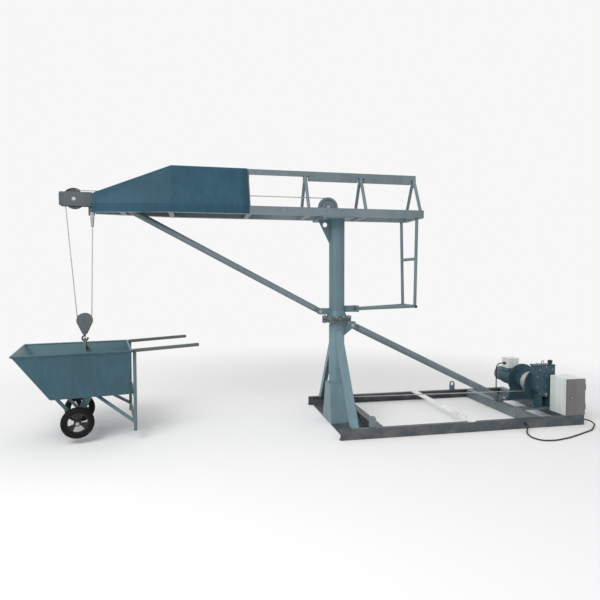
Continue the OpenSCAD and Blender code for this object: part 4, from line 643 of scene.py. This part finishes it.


# Cabinet. Sheet steel box in pale grey with a door on hinge pins and a quarter-turn latch,
# contactors and a terminal row on a plate inside. The door's dark grey is painted shade on the box's near
# face.
painted_shade_door = painted_steel("dark_painted_shade_door", (0.155, 0.15, 0.146), wear=0.4)
finish_nodes(pale_paint, "cabinet_body")
finish_nodes(painted_shade_door, "cabinet_door")
finish_nodes(steel, "door_latch")
finish_nodes(rubber, "cable_glands")
switch_plastic = moulded_plastic("switch_gear_plastic", (0.42, 0.42, 0.40))
finish_nodes(switch_plastic, "cabinet_fittings")
CONTACTOR_X, CONTACTOR_STEP, CONTACTOR_Y, CONTACTOR_Z = 2.3617, 0.0583, -0.524, 0.335
CONTACT_X, CONTACT_Z = 0.016, 0.032
ROW_X, ROW_STEP, ROW_Y, ROW_Z, TERMINALS = 2.359, 0.0136, -0.484, 0.2075, 10
contactor_xs = [CONTACTOR_X + i * CONTACTOR_STEP for i in range(3)]
contactor_places = [at(x, CONTACTOR_Y, CONTACTOR_Z) @ facing_out(-1) for x in contactor_xs]
spread(box_lid(0.046, 0.046, 0.005), contactor_places, "contactor_faces", "base", black_plastic)
screw_places = [at(x + i * CONTACT_X, CONTACTOR_Y, CONTACTOR_Z + j * CONTACT_Z) @ facing_out(-1)
                for x in contactor_xs for i in (-1, 0, 1) for j in (-1, 1)]
screw_places += [at(ROW_X + i * ROW_STEP, ROW_Y, ROW_Z) @ facing_out(-1) for i in range(TERMINALS)]
spread(hexagon_bolt(0.006, 0.002, 0.001), screw_places, "terminal_screws", "base", steel)


# Boom. Box-section chords with sloping frames on saddles, a riveted sheet cover over the front, a long
# tube strut and a head box with bolted side plates and a rope guard over its sheave.
def cover_edges(finish, paint):
    """A darker band at the cover's rear edge."""
    along = finish.split(finish.place)[0] + finish.noise(9.0, 3.0) * 0.02
    return finish.mix(along.ramp(-1.035, -1.01) * 0.55, paint, (0.010, 0.034, 0.055))


finish_nodes(frame_paint, "bottom_chords", "top_chord", "boom_lattice", "boom_strut", "tail_frame",
             "top_sheave")
cover_paint = painted_steel("dark_blue_cover_paint", (0.017, 0.067, 0.103), wear=0.6, shade=cover_edges,
                            gloss=0.2)
finish_nodes(cover_paint, "boom_cover")
head_paint = painted_steel("boom_head_paint", (0.062, 0.080, 0.092), wear=0.8)
finish_nodes(head_paint, "head_cheeks")
finish_nodes(steel, "boom_pins", "rope_anchor")
sheave_paint = painted_steel("sheave_paint", (0.05, 0.06, 0.066), wear=1.0)
finish_nodes(sheave_paint, "head_sheave", "foot_sheave", "block_sheave")


def rivet(r):
    """A round rivet head standing on z 0: the upper half of a ball, flattened and closed below."""
    select_none()
    bpy.ops.mesh.primitive_uv_sphere_add(segments=14, ring_count=8, radius=r)
    head = bpy.context.object
    edit_faces(head, lambda centre, normal: centre.z < 0)
    bpy.ops.mesh.delete(type="FACE")
    bpy.ops.mesh.select_all(action="SELECT")
    bpy.ops.mesh.fill_holes(sides=0)
    bpy.ops.mesh.select_all(action="SELECT")
    bpy.ops.mesh.normals_make_consistent(inside=False)
    bpy.ops.transform.resize(value=(1.0, 1.0, 0.55), center_override=(0, 0, 0))
    bpy.ops.object.mode_set(mode="OBJECT")
    return head


PEAK, NOSE_FRONT, COVER_REAR = 1.739, 2.480, 0.971
SIDE_Y, NOSE_Y = 0.2436, 0.0996
RIVETS, RIVET_IN, RIVET_STEP, RIVET_Z, RIVET_R = 16, 0.03, 0.096, 2.240, 0.007
nose_swing = math.atan2(SIDE_Y - NOSE_Y, NOSE_FRONT - PEAK)
rivet_places = []
for i in range(RIVETS):
    x = COVER_REAR + RIVET_IN + i * RIVET_STEP
    inward = max(0.0, (x - PEAK) / (NOSE_FRONT - PEAK))
    y = SIDE_Y - (SIDE_Y - NOSE_Y) * inward
    swing = nose_swing if inward else 0.0
    for side in (-1, 1):
        outward = Matrix.Rotation(-side * swing, 4, "Z") @ facing_out(side)
        rivet_places.append(at(-x, side * y, RIVET_Z) @ outward)
spread(rivet(RIVET_R), rivet_places, "cover_rivets", "boom", cover_paint)

LEVEL_FRAMES, NOSE_FRAME, NOSE_DROP = (0.883, 0.265, -0.353, -0.971, -1.739), -2.205, 0.187
CHORD_TOP, DOUBLER_Z, SADDLE_TOP = 2.280, 2.6175, 2.640
SADDLE_L, SADDLE_W, SADDLE_H, SADDLE_IN = 0.040, 0.050, 0.067, 0.0005


def leg_saddle():
    """The block between a frame's legs, let into the top chord above z 0, drawn in below and chamfered."""
    select_none()
    bpy.ops.mesh.primitive_cube_add(size=1.0, location=(0, 0, SADDLE_IN - SADDLE_H / 2),
                                    scale=(SADDLE_L, SADDLE_W, SADDLE_H))
    saddle = placed()
    for drop, width in ((0.008, 0.72), (0.004, 0.6)):
        edit_faces(saddle, lambda centre, normal: normal.z < -0.9)
        bpy.ops.mesh.extrude_region_move(TRANSFORM_OT_translate={"value": (0, 0, -drop)})
        bpy.ops.transform.resize(value=(0.9, width, 1.0), center_override=(0, 0, 0))
    bpy.ops.mesh.select_all(action="SELECT")
    bpy.ops.mesh.bevel(offset=0.002, segments=2)
    bpy.ops.object.mode_set(mode="OBJECT")
    return saddle


saddle_places = [at(x, 0, SADDLE_TOP) for x in LEVEL_FRAMES] + [at(NOSE_FRAME, 0, SADDLE_TOP - NOSE_DROP)]
spread(leg_saddle(), saddle_places, "leg_saddles", "boom", frame_paint)
DOUBLER_ENDS = ((0.843, 1), (0.305, -1), (0.225, 1), (-0.313, -1))
cap_places = [at(x, 0, DOUBLER_Z) @ Matrix.Rotation(way * math.pi / 2, 4, "Y") for x, way in DOUBLER_ENDS]
spread(box_lid(0.0438, 0.0488, 0.004, rim=0.004), cap_places, "doubler_end_caps", "boom", frame_paint)
LEG_R, LEG_Y, NOSE_LEG_Y, LEG_SLANT, LEG_WELD = 0.017, 0.19025, 0.09815, 1.115, 0.0026
leg_feet = [(x, LEG_Y) for x in LEVEL_FRAMES] + [(NOSE_FRAME, NOSE_LEG_Y)]
slanted = Matrix.Diagonal((1.0, LEG_SLANT, 1.0, 1.0))
weld_places = [at(x, side * y, CHORD_TOP) @ slanted for x, y in leg_feet for side in (-1, 1)]
spread(weld_ring(LEG_R, 0.0, LEG_WELD), weld_places, "lattice_leg_welds", "boom", frame_paint)

GUARD_R, GUARD_W, GUARD_T, GUARD_FROM, GUARD_TO = 0.106, 0.057, 0.004, 64, 151


def round_head(centre):
    """The angle of a place round the head sheave, in degrees."""
    return math.degrees(math.atan2(centre.z - head_c[1], centre.x - head_c[0]))


def rope_guard():
    """A bent strip of sheet over the head sheave that keeps the rope in its groove."""
    select_none()
    bpy.ops.mesh.primitive_cylinder_add(vertices=96, radius=GUARD_R, depth=GUARD_W, end_fill_type="NOTHING",
                                        location=(head_c[0], 0, head_c[1]), rotation=(math.pi / 2, 0, 0))
    guard = placed()
    edit_faces(guard, lambda centre, normal: not GUARD_FROM < round_head(centre) < GUARD_TO)
    bpy.ops.mesh.delete(type="FACE")
    bpy.ops.mesh.select_all(action="SELECT")
    bpy.ops.mesh.solidify(thickness=GUARD_T)
    bpy.ops.mesh.normals_make_consistent(inside=False)
    bpy.ops.object.mode_set(mode="OBJECT")
    return guard


guard_paint = painted_steel("dark_guard_paint", (0.022, 0.028, 0.034), wear=0.9)
joined([rope_guard()], "head_rope_guard", "boom", guard_paint)


def edit_points(piece, chosen):
    """Edit mode with only those points selected that the test picks, by their place."""
    bpy.ops.object.mode_set(mode="OBJECT")
    mesh = piece.data
    for group in (mesh.edges, mesh.polygons):
        group.foreach_set("select", [False] * len(group))
    for vertex in mesh.vertices:
        vertex.select = bool(chosen(vertex.co))
    bpy.context.tool_settings.mesh_select_mode = (True, False, False)
    bpy.ops.object.mode_set(mode="EDIT")


def side_plate(length, height, thick, corner):
    """A plate with rounded corners and a chamfered rim, standing on z 0: a disc drawn apart, then raised."""
    select_none()
    bpy.ops.mesh.primitive_circle_add(vertices=32, radius=corner, fill_type="NGON",
                                      rotation=(0, 0, math.pi / 32))
    plate = placed()
    for side in (-1, 1):
        edit_points(plate, lambda place: place.x * side > 0)
        bpy.ops.transform.translate(value=(side * (length / 2 - corner), 0, 0))
        edit_points(plate, lambda place: place.y * side > 0)
        bpy.ops.transform.translate(value=(0, side * (height / 2 - corner), 0))
    chamfer = thick * 0.3
    edit_faces(plate, lambda centre, normal: True)
    bpy.ops.mesh.extrude_region_move(TRANSFORM_OT_translate={"value": (0, 0, thick - chamfer)})
    bpy.ops.mesh.inset(thickness=chamfer)
    bpy.ops.transform.translate(value=(0, 0, chamfer))
    bpy.ops.mesh.select_all(action="SELECT")
    bpy.ops.mesh.normals_make_consistent(inside=False)
    bpy.ops.object.mode_set(mode="OBJECT")
    return plate


PLATE_X, CHEEK_OUT, PLATE_T, PLATE_BOLT_X, PLATE_BOLT_Z = -2.638, 0.0285, 0.004, 0.134, 0.046
plate_places = [at(PLATE_X, side * CHEEK_OUT, head_c[1]) @ facing_out(side) for side in (-1, 1)]
spread(side_plate(0.310, 0.138, PLATE_T, 0.016), plate_places, "head_side_plates", "boom", head_paint)
plate_bolts = [place @ at(i * PLATE_BOLT_X, j * PLATE_BOLT_Z, PLATE_T)
               for place in plate_places for i in (-1, 1) for j in (-1, 1)]
spread(hexagon_bolt(0.013, 0.006, 0.0015), plate_bolts, "head_plate_bolts", "boom", head_paint)


# Hook block and hook. Two pear-shaped cheek plates round a sheave, a forged hook on a swivel with a
# sprung sheet tongue across its mouth.
block_paint = painted_steel("hook_block_paint", (0.098, 0.122, 0.132), wear=0.9)
finish_nodes(block_paint, "block_cheeks", "lifting_hook")
BARROW_TURN = math.radians(10.4)
BOWL_Z, TONGUE_X, TONGUE_UP, TONGUE_TILT = 0.9625, -0.006, 0.0175, math.radians(22)
on_hook = at(block_c[0], 0, 0) @ Matrix.Rotation(BARROW_TURN, 4, "Z")


def hook_tongue():
    """The safety tongue: a folded sheet strip, wide at its pivot and curved towards the hook's point."""
    select_none()
    bpy.ops.mesh.primitive_cube_add(size=1.0, location=(0.0125, 0, 0), scale=(0.005, 0.014, 0.0016))
    tongue = placed()
    for dx, dz in ((0.004, -0.0006), (0.004, -0.0012), (0.003, -0.0018)):
        edit_faces(tongue, lambda centre, normal: normal.x > 0.8)
        bpy.ops.mesh.extrude_region_move(TRANSFORM_OT_translate={"value": (dx, 0, dz)})
        bpy.ops.transform.resize(value=(1.0, 0.86, 1.0), center_override=(0, 0, 0))
    bpy.ops.object.mode_set(mode="OBJECT")
    bpy.ops.mesh.primitive_cylinder_add(vertices=20, radius=0.003, depth=0.018, location=(0.0085, 0, 0),
                                        rotation=(math.pi / 2, 0, 0))
    barrel = placed()
    edit_faces(barrel, lambda centre, normal: abs(normal.y) > 0.9)
    bpy.ops.mesh.inset(thickness=0.001, depth=0.001, use_individual=True)
    bpy.ops.object.mode_set(mode="OBJECT")
    return merged(tongue)


tongue_place = on_hook @ at(TONGUE_X, 0, BOWL_Z + TONGUE_UP) @ Matrix.Rotation(TONGUE_TILT, 4, "Y")
spread(hook_tongue(), [tongue_place], "hook_safety_tongue", "hook", steel)


# Barrow. Pressed and welded sheet tray on a tube frame, tube handles with plastic end plugs, two disc
# wheels with kidney openings and treaded black tyres, held by bolts in the axle's ends.
TRAY_MIDDLE_Z = 0.72


def worn_inside(finish, paint):
    """Sheet faces that look towards the middle of the tray are rubbed pale by what is tipped out of it."""
    outward = finish.node("ShaderNodeNewGeometry", {}, {})[1]
    inward = finish.node("ShaderNodeVectorMath", {"operation": "SUBTRACT"},
                         {0: (block_c[0], 0.0, TRAY_MIDDLE_Z), 1: finish.place})[0]
    towards = finish.node("ShaderNodeVectorMath", {"operation": "DOT_PRODUCT"}, {0: inward, 1: outward})[1]
    rubbed = towards.ramp(0.0, 0.05) * (0.55 + finish.noise(5.0, 4.0) * 0.5)
    return finish.mix(rubbed, paint, (0.125, 0.230, 0.262))


tray_paint = painted_steel("tray_paint", (0.028, 0.088, 0.118), wear=1.0, shade=worn_inside)
finish_nodes(tray_paint, "tray")
leg_paint = painted_steel("barrow_frame_paint", (0.092, 0.155, 0.175), wear=1.0)
finish_nodes(leg_paint, "barrow_frame")
dull_steel = painted_steel("dull_grey_tube", (0.082, 0.096, 0.093), wear=1.0)
finish_nodes(dull_steel, "handles", "bail")
wheel_enamel = painted_steel("black_wheel_enamel", (0.009, 0.009, 0.010), wear=0.4)
finish_nodes(wheel_enamel, "left_hub", "right_hub")
tyre_rubber = black_rubber("tyre_rubber", (0.0045, 0.0045, 0.0046), (0.035, 0.033, 0.03), 0.25, 0.2)


def end_plug(r):
    """A plastic plug for a tube's end, pointing along X: a flange with a domed face."""
    select_none()
    bpy.ops.mesh.primitive_cylinder_add(vertices=32, radius=r, depth=0.004, location=(0.002, 0, 0),
                                        rotation=(0, math.pi / 2, 0))
    plug = placed()
    for inset, rise in ((0.0015, 0.0012), (0.005, 0.0022), (0.005, 0.001)):
        edit_faces(plug, lambda centre, normal: normal.x > 0.9 and centre.x > 0.0035)
        bpy.ops.mesh.inset(thickness=inset)
        bpy.ops.transform.translate(value=(rise, 0, 0))
    bpy.ops.object.mode_set(mode="OBJECT")
    return plug


HANDLE_X, HANDLE_Y, HANDLE_Z, HANDLE_R = 1.0431, 0.400, 0.896, 0.017
HANDLE_RISE, HANDLE_RUN = 0.028, 0.6187
handle_pitch = Matrix.Rotation(-math.atan2(HANDLE_RISE, HANDLE_RUN), 4, "Y")
plug_places = [on_hook @ at(HANDLE_X, side * HANDLE_Y, HANDLE_Z) @ handle_pitch for side in (-1, 1)]
spread(end_plug(HANDLE_R), plug_places, "handle_end_plugs", "barrow", black_plastic)
TYRE_RING, TYRE_SECTION, TYRE_INNER, TREAD_R, TREAD_STEPS = 0.114, 0.033, 0.0993, 0.128, 80


def tread_block(centre, normal):
    """Every second face of the tread, staggered from one row to the other, with a plain band between."""
    step = round(math.atan2(centre.z, centre.x) / math.pi * TREAD_STEPS / 2 + TREAD_STEPS - 0.5)
    return (math.hypot(centre.x, centre.z) > TREAD_R and abs(centre.y) > 0.004
            and (step + (centre.y > 0)) % 2 == 0)


def treaded_tyre():
    """One tyre about the Y axis: a ring of the rounded section, then blocks raised in two staggered rows."""
    select_none()
    bpy.ops.mesh.primitive_circle_add(vertices=32, radius=TYRE_SECTION, location=(TYRE_RING, 0, 0))
    tyre = placed()
    edit_points(tyre, lambda place: place.x < TYRE_INNER)
    bpy.ops.transform.resize(value=(0.0, 1.0, 1.0), center_override=(TYRE_INNER, 0, 0))
    bpy.ops.mesh.select_all(action="SELECT")
    bpy.ops.mesh.spin(steps=TREAD_STEPS, angle=2 * math.pi, center=(0, 0, 0), axis=(0, 1, 0))
    bpy.ops.mesh.select_all(action="SELECT")
    bpy.ops.mesh.remove_doubles(threshold=0.00001)
    bpy.ops.mesh.normals_make_consistent(inside=False)
    bpy.ops.mesh.select_mode(type="FACE")
    edit_faces(tyre, tread_block)
    bpy.ops.mesh.inset(thickness=0.0006, depth=0.003)
    bpy.ops.object.mode_set(mode="OBJECT")
    return tyre


WHEEL_X, WHEEL_Y, WHEEL_Z, AXLE_END = -0.070, 0.300, 0.200, 0.345
for side, name in ((-1, "left"), (1, "right")):
    place = on_hook @ at(WHEEL_X, side * WHEEL_Y, WHEEL_Z)
    tyre = spread(treaded_tyre(), [place], name + "_treaded_tyre", name + "_wheel", tyre_rubber)
    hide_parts(name + "_tyre")
axle_places = [on_hook @ at(WHEEL_X, side * AXLE_END, WHEEL_Z) @ facing_out(side) for side in (-1, 1)]
spread(hexagon_bolt(0.024, 0.010, 0.003), axle_places, "axle_end_bolts", "barrow", steel)


# Studio. A pale floor that runs into a white background, as behind the hoist in the photograph.
# Soft light comes from all round, and from one large lamp up on the camera's left.
BACK_WHITE, SKY_LIGHT, FLOOR_NEAR, FLOOR_FAR = 0.93, 0.70, 2.6, 6.5


def pale_floor():
    """Matt near the hoist, where shadows fall, and as white as the background further out."""
    finish = Finish("pale_studio_floor", Roughness=0.9, Specular_IOR_Level=0.0)
    x, y, _ = finish.split(finish.place)
    far = (x * x + y * y).math("SQRT").ramp(FLOOR_NEAR, FLOOR_FAR)
    path = finish.node("ShaderNodeLightPath", {}, {})
    seen = (path[0] + path[3] + path[6]).math("MINIMUM", 1.0)
    white = (BACK_WHITE, BACK_WHITE, BACK_WHITE, 1.0)
    glow = finish.node("ShaderNodeEmission", {}, {"Color": white, "Strength": 1.0})[0]
    finish.shader.inputs["Base Color"].default_value = (0.92, 0.92, 0.92, 1.0)
    mixed = finish.tree.nodes.new("ShaderNodeMixShader")
    finish.tree.links.new((far * seen).socket, mixed.inputs[0])
    finish.tree.links.new(finish.shader.outputs[0], mixed.inputs[1])
    finish.tree.links.new(glow.socket, mixed.inputs[2])
    finish.tree.links.new(mixed.outputs[0], finish.tree.nodes["Material Output"].inputs[0])
    return finish.material


select_none()
bpy.ops.mesh.primitive_plane_add(size=120.0, location=(0, 0, -0.001))
floor = bpy.context.object
floor.name = "studio_floor"
floor.data.materials.append(pale_floor())
world = bpy.data.worlds.new("studio")
bpy.context.scene.world = world
world.use_nodes = True
sky = world.node_tree
back = sky.nodes["Background"]
back.inputs[0].default_value = (1.0, 1.0, 1.0, 1.0)
path = sky.nodes.new("ShaderNodeLightPath")
seen = path.outputs["Is Camera Ray"]
for ray in ("Is Glossy Ray", "Is Transmission Ray"):
    either = sky.nodes.new("ShaderNodeMath")
    either.operation = "MAXIMUM"
    sky.links.new(seen, either.inputs[0])
    sky.links.new(path.outputs[ray], either.inputs[1])
    seen = either.outputs[0]
level = sky.nodes.new("ShaderNodeMapRange")
sky.links.new(seen, level.inputs[0])
level.inputs[3].default_value = SKY_LIGHT
level.inputs[4].default_value = BACK_WHITE
sky.links.new(level.outputs[0], back.inputs[1])
lamp_data = bpy.data.lights.new("key_softbox", "AREA")
lamp_data.energy = 430.0
lamp_data.size = 5.0
lamp = bpy.data.objects.new("key_softbox", lamp_data)
lamp.location = (-5.0, -5.5, 7.0)
lamp.rotation_euler = (Vector((0.2, 0, 1.2)) - lamp.location).to_track_quat("-Z", "Y").to_euler()
bpy.context.scene.collection.objects.link(lamp)
